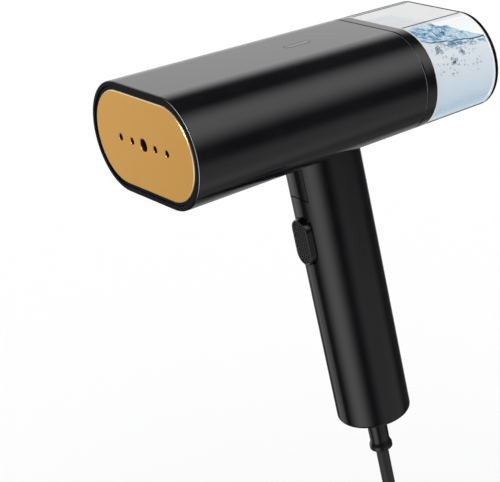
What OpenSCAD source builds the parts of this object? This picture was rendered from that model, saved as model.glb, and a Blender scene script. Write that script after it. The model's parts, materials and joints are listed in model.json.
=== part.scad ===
// Foldable travel garment steamer: an oblong head with a steam plate in front and a clear
// water tank behind, on a round handle that folds forward under the head. All sizes in mm.
// The steam plate faces -Y, the tank is at +Y and the handle hangs towards -Z.
// The origin is the centre of the steam plate's outer face.

/* [Head] */
// Width of the head at the steam plate
head_w = 91; // [86:1:96]
// Height of the head at the steam plate
head_h = 52; // [50:1:54]
// Length of the black sleeve behind the steam plate's face
sleeve_len = 126.1; // [124:0.1:135]
// How much each side of the head leans inwards towards the tank, in degrees
head_taper = 1.05; // [0.6:0.05:1.2]
// Wall thickness of the sleeve
wall = 2.2; // [1.8:0.1:2.4]

/* [Steam plate] */
// Distance from the sleeve's outline in to the plate's edge
plate_inset = 4.1; // [3.8:0.1:4.6]
// Distance between neighbouring steam holes
hole_pitch = 10; // [8:0.5:12]
// Diameter of the middle steam hole
big_hole_d = 5.9; // [4:0.1:6.5]
// Diameter of the other steam holes
small_hole_d = 3.2; // [2:0.1:4]

/* [Tank] */
// Length of the black collar in front of the clear tank
collar_len = 5.4; // [5:0.2:8]
// Length of the clear part of the tank
tank_len = 37.8; // [34:0.2:60]
// Wall thickness of the clear tank
tank_wall = 1.3; // [1:0.1:2]
// Height of the water's surface above the head's axis
water_level = 16.5; // [0:0.5:17]

/* [Handle] */
// Diameter of the handle
handle_d = 37; // [36:0.5:37]
// Length of the handle below the hinge pin
handle_drop = 135.6; // [125:0.2:150]
// How far the handle's lower end leans towards the tank, in degrees
handle_tilt = 5.7; // [3:0.1:7]
// Distance of the hinge pin behind the steam plate's face
pivot_y = 87.5; // [80:0.5:90]
// Distance of the hinge pin below the head's underside
pivot_drop = 12.7; // [12.7:0.1:13.4]
// Distance of the hinge pin in front of the handle's axis
pivot_front = 6.3; // [6.3:0.1:6.6]

/* [Trigger] */
// Distance of the trigger's centre below the hinge pin
trigger_drop = 32.2; // [31:0.2:40]
// Length of the trigger along the handle
trigger_len = 24; // [23:0.5:26]
// Width of the trigger
trigger_w = 12; // [11:0.5:13]
// How far the trigger stands out of the handle
trigger_out = 2.6; // [2.4:0.1:3]

/* [Cord] */
// Diameter of the cord
cord_d = 6.4; // [6:0.1:7]
// Length of the straight cord that hangs from the boot
cord_hang = 42; // [30:1:80]
// Radius of the bend between the hanging cord and the plug
cord_bend_r = 55; // [40:1:70]

/* [Hidden] */
$fn = 72;

eps = 0.05;                 // play of parts that sit still against each other
slip = 0.25;                // gap between parts that slide or show a seam
far = 120;                  // larger than any half-size that is cut away

// Colours
black = [0.05, 0.05, 0.055];
dark = [0.16, 0.17, 0.18];
gold = [0.80, 0.62, 0.36];
steel = [0.72, 0.73, 0.75];
alloy = [0.62, 0.63, 0.64];
brass = [0.75, 0.60, 0.30];
silicone = [0.75, 0.74, 0.70];
rubber = [0.08, 0.08, 0.08];
clear = [0.85, 0.93, 0.98, 0.35];
blue = [0.60, 0.80, 0.95, 0.5];

// Head outline
side_x = (head_w - head_h) / 2;                 // centre of each rounded side
slope = tan(head_taper);
function head_r(y) = head_h / 2 - slope * y;    // half-height of the head at y
rim_y = 0;                                      // front rim of the sleeve, flush with the plate
rim_bevel = 0.8;
collar_y = sleeve_len + slip;
glass_y = collar_y + collar_len;                // where the clear tank starts
tank_end = glass_y + tank_len;
end_wall = tank_wall + 0.3;                     // thickness of the tank's rear wall

// Steam plate and boiler
plate_t = 3;
plate_r = head_h / 2 - plate_inset;
plate_bevel = 0.6;
countersink = 0.5;
gasket_t = 1.05;
gasket_r = plate_r - 2.3;                       // inner outline of the gasket
shelf_y = plate_t + gasket_t + eps;             // front of the bezel's inner shelf
shelf_r = plate_r - 1.4;
bezel_end = 12;
boiler_r = gasket_r - 0.3;
flange_y = bezel_end + eps;
flange_t = 2.5;
block_r = 12;                                   // rear half of the boiler
block_end = 24;
chamber_r = 14;
chamber_end = 9;
boiler_screw_x = 24;
boiler_screw_z = 14.5;
boiler_boss_r = 3;                              // screw bosses behind the plate
boss_len = 4;
boiler_screw_r = 1.5;
screw_head_r = 2.75;
screw_head_t = 2.1;
screw_play = 0.2;                               // screws in plain holes
element_r = 3.25;
element_y = 17.5;
element_z = 5;
element_x = 25;                                 // half-distance between the element's two ends
element_bend_r = 5;
element_end = 32;
thermostat_x = 13;
fuse_x = -12;

// Water path: tank valve, dock, pump and boiler inlet share one axis
path_z = -6;
path_bore_r = 1.2;
nozzle_r = 2.5;
nozzle_len = 12;
hose_r = 4;
hose_stop = 4;                                  // shoulder that a hose is pushed up to
pump_y = 54;                                    // front of the pump's steel frame
pump_len = 28;
pump_half_w = 13;
pump_half_h = 11;
pump_tube_r = 5;
pump_coil_r = 7.6;
pump_flange_r = 9;
pump_flange_t = 1.5;
pump_shoulder = 6;                              // how far the pump's wide tube stands out of its frame
dock_y = 110;
dock_t = 2.5;
socket_r = 8;
socket_wall = 1.9;
socket_end = 119;
probe_r = 4;                                    // nozzle that the tank pushes into the dock
probe_start = 113;

// Tank lid and valve
spigot_start = 117;
spigot_r = head_r(sleeve_len) - wall - 0.35;
spigot_t = 2;
lid_t = 2.5;
lid_back = collar_y + lid_t;
groove_y = [119.5, 121.5];                      // seal groove round the spigot
groove_depth = 0.8;
tongue_len = 1;
tongue_r = head_r(glass_y + tongue_len) - tank_wall - 0.1;
tongue_t = 1.6;
valve_r = 6;
valve_neck_y = 122;                             // where the probe widens to the valve
valve_end = 149;
valve_steps = [[130, 8.5], [137, 7], [143, 5], [valve_end, 3]];  // rear end and radius of each step
spring_bore_y = [124, 134];
stub_y = 133.5;                                 // suction stub that points down
stub_r = 2.5;
stub_len = 13;
filler_x = -21;
filler_r = 8;
vent_x = 21;
vent_z = 8;
vent_r = 2;
vent_out = 1.6;                                 // how far the vent stands into the tank

// Hinge and handle frame
handle_r = handle_d / 2;
tube_wall = 2.4;
bore_r = handle_r - tube_wall;
pivot_z = -head_r(pivot_y) - pivot_drop;
under_angle = handle_tilt - head_taper;         // underside of the head seen from the handle
under_drop = pivot_drop * cos(head_taper);      // hinge pin to underside, square to it
under_gap = 0.35;                               // play between the handle and the underside
cheek_r = under_drop - under_gap;               // front top corner of the cheeks
knuckle_r = 15.1;
knuckle_w = 13.8;
yoke_low = -knuckle_r - 1.2;
pin_r = 3;
pin_len = 25.6;
washer_t = 0.6;
washer_r = 7;
knuckle_screw_y = [-6.5, 6.4];
knuckle_screw_r = 1.5;
knuckle_screw_len = 9;
wire_x = 4;
wire_y = 4.5;
wire_r = 1.2;
wire_hole_r = 1.6;
front_y = pivot_front - handle_r;               // handle's front line in its own frame
bottom_z = -handle_drop;
bottom_round = 2;

// Trigger and switch, in the handle's frame
trigger_z = -trigger_drop;
trigger_back = -6.6;                            // front of the trigger's inner flange
trigger_flange_t = 1.6;
trigger_flange_w = 1.5;                         // how far the flange spreads round the trigger
post_z = trigger_z - 6;
spring_z = trigger_z + 7;
post_end = -1;
spring_post_r = 1.6;
plunger_r = 1.25;
switch_y = 1.2;
bracket_y = 11.2;
bracket_t = 2;

// End cap and its screws, in the handle's frame
cap_recess = 0.8;
cap_top = 6;
cap_screw_x = bore_r - 2.4;
cap_screw_r = 1.15;
cap_head_r = 2.2;
cap_seat = 2.75;                                // where the screw heads rest in the cap
flange_top = 3.1;                               // top of the boot's flange inside the cap

// Cord, in the handle's frame
boot_len = 21.5;
boot_r = 5.1;
boot_neck_r = boot_r - 0.5;
boot_flange_r = boot_r + 1.6;
cord_r = cord_d / 2;
cord_turn = 90 - handle_tilt;                   // from along the handle to level
cord_top = bottom_z + 16;
cord_low = bottom_z - boot_len - cord_hang;

// Plug, with two round pins
plug_pin_r = 2.4;
plug_pin_len = 19;
plug_pitch = 19;
sleeve_r = cord_r + 0.3;                        // crimped end of the cord
relief_r = 5;
relief_len = 14;
collar_r = 7.5;
grip_r = 18.5;
grip_y = 20;
plug_face = 42;
pin_root = 30;
root_r = plug_pin_r - 0.4;

// Indicator window
lens_y = 86.6;
lens_len = 14;
lens_w = 4;
led_board_drop = 8;
led_post_gap = 11.5;                            // window's centre to each of the board's posts

// Hollow in the head's underside for the folded trigger
pocket_play = 1.6;
pocket_depth = trigger_out + 0.3;
pocket_wall = 1.6;

// ---------- shared shapes ----------

// An oblong prism that tapers along Y: two cones with a flat block between them
module oblong_cone(y0, r0, y1, r1) {
    for (side = [-1, 1])
        translate([side * side_x, y0, 0])
            rotate([-90, 0, 0])
                cylinder(h = y1 - y0, r1 = r0, r2 = r1);
    rotate([90, 0, 90])
        translate([0, 0, -side_x])
            linear_extrude(2 * side_x)
                polygon([[y0, -r0], [y1, -r1], [y1, r1], [y0, r0]]);
}

// The head's own outline between two stations, drawn in by inset
module head_span(y0, y1, inset = 0) {
    oblong_cone(y0, head_r(y0) - inset, y1, head_r(y1) - inset);
}

// A straight oblong of the head's proportions
module oblong(y0, y1, r) {
    oblong_cone(y0, r, y1, r);
}

// A flat outline with two round ends, len along the second axis
module slot_2d(w, len) {
    square([w, len - w], center = true);
    for (end = [-1, 1])
        translate([0, end * (len - w) / 2])
            circle(d = w);
}

// A round bar along Y
module bar_y(y0, y1, r, x = 0, z = 0) {
    translate([x, y0, z])
        rotate([-90, 0, 0])
            cylinder(h = y1 - y0, r = r);
}

// A round bar along Z
module bar_z(z0, z1, r, x = 0, y = 0) {
    translate([x, y, z0])
        cylinder(h = z1 - z0, r = r);
}

// A ring of wire around the Y axis
module wire_ring_y(y, ring_r, wire_radius, z = 0) {
    translate([0, y, z])
        rotate([-90, 0, 0])
            rotate_extrude()
                translate([ring_r, 0])
                    circle(r = wire_radius, $fn = 24);
}

// A round wire along a list of points, with a bead of insulation at each bend
module wire_path(points, r) {
    for (i = [1:len(points) - 1]) {
        step = points[i] - points[i - 1];
        reach = norm(step);
        translate(points[i - 1])
            rotate([0, acos(step[2] / reach), atan2(step[1], step[0])])
                cylinder(h = reach, r = r);
    }
    for (i = [1:len(points) - 2])
        translate(points[i])
            sphere(r = r + 0.25);
}

// Handle frame: origin on the hinge pin, Z up along the handle, Y rearwards
module at_handle() {
    translate([0, pivot_y, pivot_z])
        rotate([handle_tilt, 0, 0])
            children();
}

// Everything nearer to the head's underside than gap, in the handle frame
module above_underside(gap) {
    rotate([-under_angle, 0, 0])
        translate([-far, -far, under_drop - gap])
            cube([2 * far, 2 * far, far]);
}

// A bar along X through the hinge pin's axis
module hinge_bar(r, w) {
    translate([-w / 2, 0, 0])
        rotate([0, 90, 0])
            cylinder(h = w, r = r);
}

// What the cheeks must lose in front of the hinge pin to swing under the head
module cheek_corner() {
    difference() {
        translate([-far, -far, 0])
            cube([2 * far, far, far]);
        hinge_bar(cheek_r, 3 * far);
    }
}

// ---------- head ----------

module head_shell() {
    color(black)
        difference() {
            union() {
                difference() {
                    union() {
                        oblong_cone(rim_y, head_r(rim_y) - rim_bevel, rim_y + rim_bevel,
                                    head_r(rim_y + rim_bevel));
                        head_span(rim_y + rim_bevel, sleeve_len);
                    }
                    head_span(rim_y - 1, sleeve_len + 1, wall);
                }
                led_posts();
                intersection() {
                    trigger_pocket(pocket_play + pocket_wall, pocket_depth + pocket_wall);
                    head_span(rim_y, sleeve_len, wall / 2);
                }
            }
            trigger_pocket(pocket_play, pocket_depth);
            lens_outline(eps);
            for (y = knuckle_screw_y)
                bar_z(-head_h, 0, knuckle_screw_r + screw_play, 0, pivot_y + y);
            for (side = [-1, 1])
                bar_z(-head_h, 0, wire_hole_r, side * wire_x, pivot_y + wire_y);
        }
}

// The hollow in the underside that takes the trigger when the handle is folded
module trigger_pocket(gap, depth) {
    difference() {
        translate([0, pivot_y - trigger_drop, -head_h])
            linear_extrude(head_h)
                slot_2d(trigger_w + 2 * gap, trigger_len + 2 * gap);
        head_span(0, sleeve_len, depth);
    }
}

// Two pillars under the top wall that carry the indicator's board
module led_posts() {
    post_r = 2.2;
    post_top = head_r(lens_y) - wall + 0.4;
    for (end = [-1, 1])
        bar_z(head_r(lens_y) - wall - led_board_drop, post_top, post_r, 0,
              lens_y + end * led_post_gap);
}

// The window's outline through the top wall
module lens_outline(gap) {
    translate([0, lens_y, 0])
        linear_extrude(head_h)
            slot_2d(lens_w + 2 * gap, lens_len + 2 * gap);
}

module indicator_lens() {
    lip_t = 1.2;
    lip_w = 1.5;
    lip_top = head_r(lens_y + lens_len) - wall - eps;
    color(dark) {
        intersection() {
            lens_outline(0);
            difference() {
                head_span(lens_y - lens_len, lens_y + lens_len);
                translate([-far, -far, -far])
                    cube([2 * far, 3 * far, far + lip_top - lip_t / 2]);
            }
        }
        translate([0, lens_y, lip_top - lip_t])
            linear_extrude(lip_t)
                slot_2d(lens_w + 2 * lip_w, lens_len + 2 * lip_w);
    }
}

module led_board() {
    board_t = 1.6;
    board_w = 14;
    board_len = 30;
    screw_hole_r = 0.8;
    board_top = head_r(lens_y) - wall - led_board_drop - eps;
    color([0.05, 0.30, 0.15])
        difference() {
            translate([-board_w / 2, lens_y - board_len / 2, board_top - board_t])
                cube([board_w, board_len, board_t]);
            for (end = [-1, 1])
                bar_z(board_top - 2 * board_t, head_h, screw_hole_r, 0, lens_y + end * led_post_gap);
        }
}

module indicator_led() {
    led_r = 1.5;
    foot = head_r(lens_y) - wall - led_board_drop;
    flange_top = foot + 1;
    dome = foot + 2.6;
    color([0.95, 0.65, 0.25]) {
        bar_z(foot, flange_top, led_r + 0.4, 0, lens_y);
        bar_z(flange_top, dome, led_r, 0, lens_y);
        translate([0, lens_y, dome])
            sphere(r = led_r, $fn = 32);
    }
}

module front_bezel() {
    recess_y = rim_y + 0.6;
    color(black)
        difference() {
            head_span(recess_y, bezel_end, wall + eps);
            oblong(recess_y - 1, shelf_y, plate_r + slip);
            oblong(shelf_y - eps, bezel_end + 1, shelf_r);
        }
}

module steam_plate() {
    color(gold)
        difference() {
            union() {
                oblong_cone(0, plate_r - plate_bevel, plate_bevel, plate_r);
                oblong(plate_bevel, plate_t, plate_r);
                boiler_corners()
                    bar_y(plate_t - eps, plate_t + boss_len, boiler_boss_r);
            }
            for (i = [-2:2])
                steam_hole(i * hole_pitch, i == 0 ? big_hole_d / 2 : small_hole_d / 2);
            boiler_corners()
                bar_y(plate_t - 1.2, plate_t + boss_len + 1, boiler_screw_r + eps / 2);
        }
}

module steam_hole(x, r) {
    bar_y(-1, plate_t + 1, r, x);
    translate([x, -eps, 0])
        rotate([-90, 0, 0])
            cylinder(h = countersink + eps, r1 = r + countersink + eps, r2 = r);
}

// The four places where screws hold the boiler to the plate
module boiler_corners() {
    for (side = [-1, 1])
        for (end = [-1, 1])
            translate([side * boiler_screw_x, 0, end * boiler_screw_z])
                children();
}

module plate_gasket() {
    color(silicone)
        difference() {
            oblong(plate_t + eps, plate_t + gasket_t, plate_r - 0.3);
            oblong(plate_t, plate_t + gasket_t + 1, gasket_r);
        }
}

module boiler_body() {
    color(alloy)
        difference() {
            union() {
                oblong(plate_t + eps, flange_y + eps, boiler_r);
                oblong(flange_y, flange_y + flange_t, shelf_r + 1.3);
                oblong(flange_y + flange_t - eps, block_end, block_r);
            }
            oblong(plate_t - 1, chamber_end, chamber_r - 2);
            boiler_corners() {
                bar_y(plate_t - 1, plate_t + boss_len + slip, boiler_boss_r + slip);
                bar_y(plate_t, flange_y + flange_t + 1, boiler_screw_r + screw_play);
            }
            element_solid(element_r + eps, block_end + 1);
            bar_y(chamber_end - 1, block_end + 1, nozzle_r + eps, 0, path_z);
        }
}

module boiler_screws() {
    head_y = flange_y + flange_t + eps;
    color(steel)
        boiler_corners() {
            bar_y(plate_t - 1, head_y, boiler_screw_r);
            bar_y(head_y, head_y + screw_head_t, screw_head_r);
        }
}

// A bar along X with both ends turned to the rear
module element_solid(r, end_y) {
    for (side = [-1, 1]) {
        bar_y(element_y + element_bend_r, end_y, r, side * element_x, element_z);
        translate([side * (element_x - element_bend_r), element_y + element_bend_r, element_z])
            rotate([0, 0, side < 0 ? 180 : 270])
                rotate_extrude(angle = 90)
                    translate([element_bend_r, 0])
                        circle(r = r);
    }
    translate([element_bend_r - element_x, element_y, element_z])
        rotate([0, 90, 0])
            cylinder(h = 2 * (element_x - element_bend_r), r = r);
}

module heating_element() {
    pin_stub = 5;
    color(steel) {
        element_solid(element_r, element_end);
        for (side = [-1, 1])
            bar_y(element_end - eps, element_end + pin_stub, 1.2, side * element_x, element_z);
    }
}

module thermostat() {
    disc_end = block_end + 1.2;
    can_end = block_end + 6;
    blade = [0.8, 5, 4];
    color(dark) {
        bar_y(block_end + eps, disc_end, 7, thermostat_x, path_z + 2);
        bar_y(disc_end - eps, can_end, 6, thermostat_x, path_z + 2);
        for (end = [-1, 1])
            translate([thermostat_x + 3 * end - blade[0] / 2, can_end - eps, path_z])
                cube(blade);
    }
}

// A glass fuse that lies along X on a flat clip
module thermal_fuse() {
    clip = [10, 1, 8];
    fuse_r = 2.4;
    fuse_len = 14;
    color(alloy) {
        translate([fuse_x - clip[0] / 2, block_end + eps, path_z - 1])
            cube(clip);
        translate([fuse_x - fuse_len / 2, block_end + clip[1] + fuse_r, path_z + 3])
            rotate([0, 90, 0])
                cylinder(h = fuse_len, r = fuse_r);
    }
}

module boiler_inlet() {
    inlet_end = block_end + nozzle_len - 2;
    color(brass)
        difference() {
            union() {
                bar_y(chamber_end + 1, inlet_end, nozzle_r, 0, path_z);
                bar_y(block_end + eps, block_end + 3, hose_r, 0, path_z);
            }
            bar_y(chamber_end, inlet_end + 1, path_bore_r, 0, path_z);
        }
}

module hose(y0, y1) {
    color(silicone)
        difference() {
            bar_y(y0, y1, hose_r, 0, path_z);
            bar_y(y0 - 1, y1 + 1, nozzle_r + eps, 0, path_z);
        }
}

module outlet_hose() {
    hose(block_end + 3.2, pump_y - pump_shoulder - 0.2);
}

module inlet_hose() {
    hose(pump_y + pump_len + pump_shoulder + 0.2, dock_y - hose_stop - 0.2);
}

module pump_tube() {
    reach = pump_shoulder + 7;
    color(brass)
        difference() {
            union() {
                bar_y(pump_y - reach, pump_y + pump_len + reach, nozzle_r, 0, path_z);
                bar_y(pump_y - pump_shoulder, pump_y + pump_len + pump_shoulder, pump_tube_r, 0, path_z);
            }
            bar_y(pump_y - reach - 1, pump_y + pump_len + reach + 1, path_bore_r, 0, path_z);
        }
}

module pump_coil() {
    coil_start = pump_y + 2;
    coil_end = pump_y + pump_len - 2;
    color([0.55, 0.25, 0.10])
        difference() {
            union() {
                bar_y(coil_start, coil_end, pump_coil_r, 0, path_z);
                for (y = [coil_start, coil_end - pump_flange_t])
                    bar_y(y, y + pump_flange_t, pump_flange_r, 0, path_z);
            }
            bar_y(pump_y, pump_y + pump_len, pump_tube_r + eps, 0, path_z);
        }
}

module pump_frame() {
    frame_t = 1.8;
    color(steel)
        difference() {
            translate([-pump_half_w, pump_y, path_z - pump_half_h])
                cube([2 * pump_half_w, pump_len, 2 * pump_half_h]);
            translate([-pump_half_w - 1, pump_y + frame_t, path_z - pump_half_h + frame_t])
                cube([2 * pump_half_w + 2, pump_len - 2 * frame_t, 2 * pump_half_h]);
            bar_y(pump_y - 1, pump_y + pump_len + 1, pump_tube_r + eps, 0, path_z);
        }
}

module pump_feet() {
    foot_top = path_z - pump_half_h - eps;
    foot_w = 2.6;
    color(rubber)
        for (side = [-1, 1])
            difference() {
                translate([side * (pump_half_w - foot_w / 2) - foot_w / 2, pump_y + 3, -head_h / 2])
                    cube([foot_w, pump_len - 6, foot_top + head_h / 2]);
                difference() {
                    translate([-far, 0, -far])
                        cube([2 * far, far, 2 * far]);
                    head_span(-1, far + 1, wall + eps);
                }
            }
}

module dock_bulkhead() {
    color(dark)
        difference() {
            union() {
                head_span(dock_y, dock_y + dock_t, wall + eps);
                bar_y(dock_y, socket_end, socket_r, 0, path_z);
                bar_y(dock_y - nozzle_len, dock_y + eps, nozzle_r, 0, path_z);
                bar_y(dock_y - hose_stop, dock_y + eps, hose_r + 0.2, 0, path_z);
            }
            bar_y(dock_y - nozzle_len - 1, dock_y + dock_t, path_bore_r, 0, path_z);
            bar_y(dock_y + 2, socket_end + 1, socket_r - socket_wall, 0, path_z);
        }
}

module dock_seal() {
    seal_r = 0.95;
    color(rubber)
        wire_ring_y(probe_start + 3, probe_r + eps + seal_r, seal_r, path_z);
}

// Two leads from the hinge up to the heating element's ends
module head_wiring() {
    floor_z = -head_r(pivot_y) + wall + 3;
    run_x = pump_half_w + 6;
    color([0.5, 0.12, 0.10])
        for (side = [-1, 1])
            wire_path([[side * wire_x, pivot_y + wire_y, pivot_z - 10],
                       [side * wire_x, pivot_y + wire_y, floor_z],
                       [side * run_x, pivot_y - 6, floor_z],
                       [side * run_x, pump_y - 6, floor_z],
                       [side * element_x, element_end + 6.5, element_z]], wire_r);
}

module hinge_knuckle() {
    color(black)
        at_handle()
            difference() {
                intersection() {
                    hinge_bar(knuckle_r, knuckle_w);
                    translate([0, pivot_front, -far])
                        cylinder(h = 2 * far, r = handle_r);
                }
                above_underside(0);
                hinge_bar(pin_r + eps, knuckle_w + 1);
                rotate([-handle_tilt, 0, 0]) {
                    for (y = knuckle_screw_y)
                        bar_z(pivot_drop - knuckle_screw_len, pivot_drop + 2, knuckle_screw_r + eps / 2,
                              0, y);
                    for (side = [-1, 1])
                        bar_z(-knuckle_r - 2, pivot_drop + 2, wire_hole_r, side * wire_x, wire_y);
                }
            }
}

module knuckle_screws() {
    color(steel)
        for (y = knuckle_screw_y)
            translate([0, pivot_y + y, 0]) {
                floor_z = -head_r(pivot_y + y) + wall + 0.15;
                bar_z(floor_z - knuckle_screw_len, floor_z, knuckle_screw_r);
                bar_z(floor_z, floor_z + screw_head_t, screw_head_r);
            }
}

// ---------- tank ----------

module tank_lid() {
    color(black)
        difference() {
            union() {
                head_span(collar_y, glass_y);
                oblong(spigot_start, collar_y + eps, spigot_r);
                oblong(glass_y - eps, glass_y + tongue_len, tongue_r);
            }
            oblong(spigot_start - 1, collar_y, spigot_r - spigot_t);
            oblong(lid_back, glass_y + tongue_len + 1, tongue_r - tongue_t);
            difference() {
                oblong(groove_y[0], groove_y[1], spigot_r + 1);
                oblong(groove_y[0] - 1, groove_y[1] + 1, spigot_r - groove_depth);
            }
            bar_y(collar_y - 1, lid_back + 1, valve_r + eps, 0, path_z);
            bar_y(collar_y - 1, lid_back + 1, filler_r + eps, filler_x);
            bar_y(collar_y - 1, lid_back + 1, vent_r + eps, vent_x, vent_z);
        }
}

module tank_seal() {
    color(rubber)
        difference() {
            oblong(groove_y[0] + 2 * eps, groove_y[1] - 2 * eps, spigot_r + 0.3);
            oblong(groove_y[0] - 1, groove_y[1] + 1, spigot_r - groove_depth + eps);
        }
}

module tank_shell() {
    color(clear)
        difference() {
            head_span(glass_y + eps, tank_end);
            head_span(glass_y - 1, tank_end - end_wall, tank_wall);
        }
}

// Outside of the valve, grown by gap
module valve_outline(gap = 0) {
    bar_y(probe_start - gap, valve_neck_y + 2, probe_r + gap, 0, path_z);
    bar_y(valve_neck_y, lid_back + gap, valve_r + gap, 0, path_z);
    for (i = [0:len(valve_steps) - 1])
        bar_y(i == 0 ? lid_back : valve_steps[i - 1][0], valve_steps[i][0] + gap,
              valve_steps[i][1] + gap, 0, path_z);
    bar_z(path_z - stub_len - gap, path_z - 4, stub_r + gap, 0, stub_y);
}

module valve_body() {
    color(dark)
        difference() {
            valve_outline();
            bar_y(probe_start - 1, spring_bore_y[0] + 2, 2, 0, path_z);
            bar_y(spring_bore_y[0], spring_bore_y[1], 4, 0, path_z);
            bar_y(spring_bore_y[1] - 1, valve_end + 1, 2.2, 0, path_z);
            bar_z(path_z - stub_len - 1, path_z - 5.2, 1.4, 0, stub_y);
        }
}

module valve_poppet() {
    disc_end = spring_bore_y[1] - 0.1;
    disc_start = disc_end - 1.5;
    stem_len = 5;
    color(steel) {
        bar_y(disc_start, disc_end, 3.5, 0, path_z);
        bar_y(disc_start - stem_len + eps, disc_start + eps, 1.1, 0, path_z);
    }
}

module valve_spring() {
    coil_wire = 0.25;
    coil_r = 2.7;
    pitch = 1.45;
    first = spring_bore_y[0] + 0.4 + coil_wire;
    color(steel)
        for (i = [0:5])
            wire_ring_y(first + i * pitch, coil_r, coil_wire, path_z);
}

module filler_plug() {
    color(silicone)
        difference() {
            union() {
                bar_y(collar_y - 2, collar_y - eps, filler_r + 1.6, filler_x);
                bar_y(collar_y - 1, lid_back + 1, filler_r, filler_x);
            }
            bar_y(lid_back - 1, lid_back + 2, filler_r - 1.8, filler_x);
        }
}

module vent_valve() {
    color(silicone) {
        bar_y(collar_y - 1.2, collar_y - eps, vent_r + 1.4, vent_x, vent_z);
        bar_y(collar_y - 1, lid_back + vent_out, vent_r, vent_x, vent_z);
    }
}

module water() {
    skin = 0.1;
    inside = glass_y + tongue_len + 0.2;
    color(blue)
        difference() {
            union() {
                head_span(inside, tank_end - end_wall - skin, tank_wall + skin);
                oblong(lid_back + skin, inside + eps, tongue_r - tongue_t - skin);
            }
            translate([-far, 0, water_level])
                cube([2 * far, 2 * far, far]);
            valve_outline(skin);
            bar_y(lid_back, lid_back + 1 + skin, filler_r + skin, filler_x);
            bar_y(lid_back, lid_back + vent_out + skin, vent_r + skin, vent_x, vent_z);
        }
}

// ---------- handle ----------

module handle_tube() {
    color(black)
        at_handle()
            difference() {
                union() {
                    difference() {
                        translate([0, pivot_front, bottom_z])
                            rounded_foot();
                        translate([0, pivot_front, bottom_z - 1])
                            cylinder(h = 2 * far, r = bore_r);
                    }
                    cap_bosses();
                }
                above_underside(under_gap);
                cheek_corner();
                hinge_bar(knuckle_r + slip, knuckle_w + 2 * slip);
                trigger_prism(-far, 0, slip);
            }
}

// A bar with a rounded lower edge
module rounded_foot() {
    rotate_extrude() {
        square([handle_r - bottom_round, handle_drop + 20]);
        translate([0, bottom_round])
            square([handle_r, handle_drop + 20 - bottom_round]);
        translate([handle_r - bottom_round, bottom_round])
            circle(r = bottom_round);
    }
}

// Two screw pillars on the tube's inner wall, above the end cap
module cap_bosses() {
    boss_r = 2.6;
    boss_low = bottom_z + cap_top + 2 * eps;
    for (side = [-1, 1])
        difference() {
            bar_z(boss_low, boss_low + 10, boss_r, side * cap_screw_x, pivot_front);
            bar_z(boss_low - 1, boss_low + 8, cap_screw_r + eps, side * cap_screw_x, pivot_front);
        }
}

module hinge_yoke() {
    color(dark)
        at_handle()
            difference() {
                bar_z(yoke_low, 2 * knuckle_r, bore_r - eps, 0, pivot_front);
                above_underside(under_gap);
                cheek_corner();
                hinge_bar(knuckle_r + slip, knuckle_w + 2 * slip);
                hinge_bar(washer_r + eps, knuckle_w + 2 * washer_t + 2 * slip);
                hinge_bar(pin_r + eps / 2, pin_len + 2 * eps);
                for (side = [-1, 1])
                    bar_z(yoke_low - 1, -knuckle_r + 2, wire_hole_r + 0.2, side * wire_x, wire_y);
            }
}

module hinge_pin() {
    color(steel)
        at_handle()
            hinge_bar(pin_r, pin_len);
}

module hinge_washers() {
    color(brass)
        at_handle()
            for (side = [-1, 1])
                translate([side * (knuckle_w / 2 + eps + washer_t / 2), 0, 0])
                    difference() {
                        hinge_bar(washer_r, washer_t);
                        hinge_bar(pin_r + eps, 2 * washer_t);
                    }
}

// An upright rounded bar along the handle frame's Y, with the trigger's outline
module trigger_prism(y0, y1, gap) {
    translate([0, y1, trigger_z])
        rotate([90, 0, 0])
            linear_extrude(y1 - y0)
                slot_2d(trigger_w + 2 * gap, trigger_len + 2 * gap);
}

module trigger() {
    face_y = front_y - trigger_out;
    color(black)
        at_handle()
            union() {
                trigger_prism(face_y, trigger_back + eps, 0);
                trigger_prism(trigger_back, trigger_back + trigger_flange_t, trigger_flange_w);
                bar_y(trigger_back, post_end, spring_post_r + 0.6, 0, post_z);
                bar_y(trigger_back, trigger_back + 3, spring_post_r, 0, spring_z);
            }
}

module trigger_spring() {
    coil_wire = 0.3;
    first = trigger_back + trigger_flange_t + coil_wire + eps;
    last = switch_y - coil_wire - eps;
    turns = 5;
    color(steel)
        at_handle()
            for (i = [0:turns])
                wire_ring_y(first + (last - first) * i / turns, spring_post_r + 0.7, coil_wire, spring_z);
}

// Chassis behind the switch, hung from the yoke
module switch_bracket() {
    bracket_top = yoke_low - eps;
    bracket_low = trigger_z - 22;
    bracket_w = 22;
    arm_w = 12;
    arm_t = 3;
    color(dark)
        at_handle()
            difference() {
                union() {
                    translate([-bracket_w / 2, bracket_y, bracket_low])
                        cube([bracket_w, bracket_t, bracket_top - bracket_low]);
                    translate([-arm_w / 2, switch_y + 5, bracket_top - arm_t])
                        cube([arm_w, bracket_y - switch_y - 4, arm_t]);
                    bar_y(switch_y, bracket_y + eps, spring_post_r + 1.4, 0, spring_z);
                }
                for (side = [-1, 1])
                    bar_z(bracket_low - 1, bracket_top + 1, wire_hole_r + 0.2, side * wire_x, wire_y);
            }
}

module microswitch() {
    body_low = post_z - 9;
    body_high = spring_z - 4;
    body_w = 6.4;
    tab = [0.8, 3, 4];
    color([0.12, 0.12, 0.14])
        at_handle()
            difference() {
                union() {
                    translate([-body_w / 2, switch_y, body_low])
                        cube([body_w, bracket_y - eps - switch_y, body_high - body_low]);
                    translate([-tab[0] / 2, switch_y + 6, body_low - tab[2] + eps])
                        cube(tab);
                }
                bar_y(switch_y - 1, switch_y + 5, plunger_r + eps, 0, post_z);
            }
}

module switch_plunger() {
    color([0.75, 0.15, 0.12])
        at_handle()
            bar_y(post_end + eps / 2, switch_y + 2.5, plunger_r, 0, post_z);
}

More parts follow.
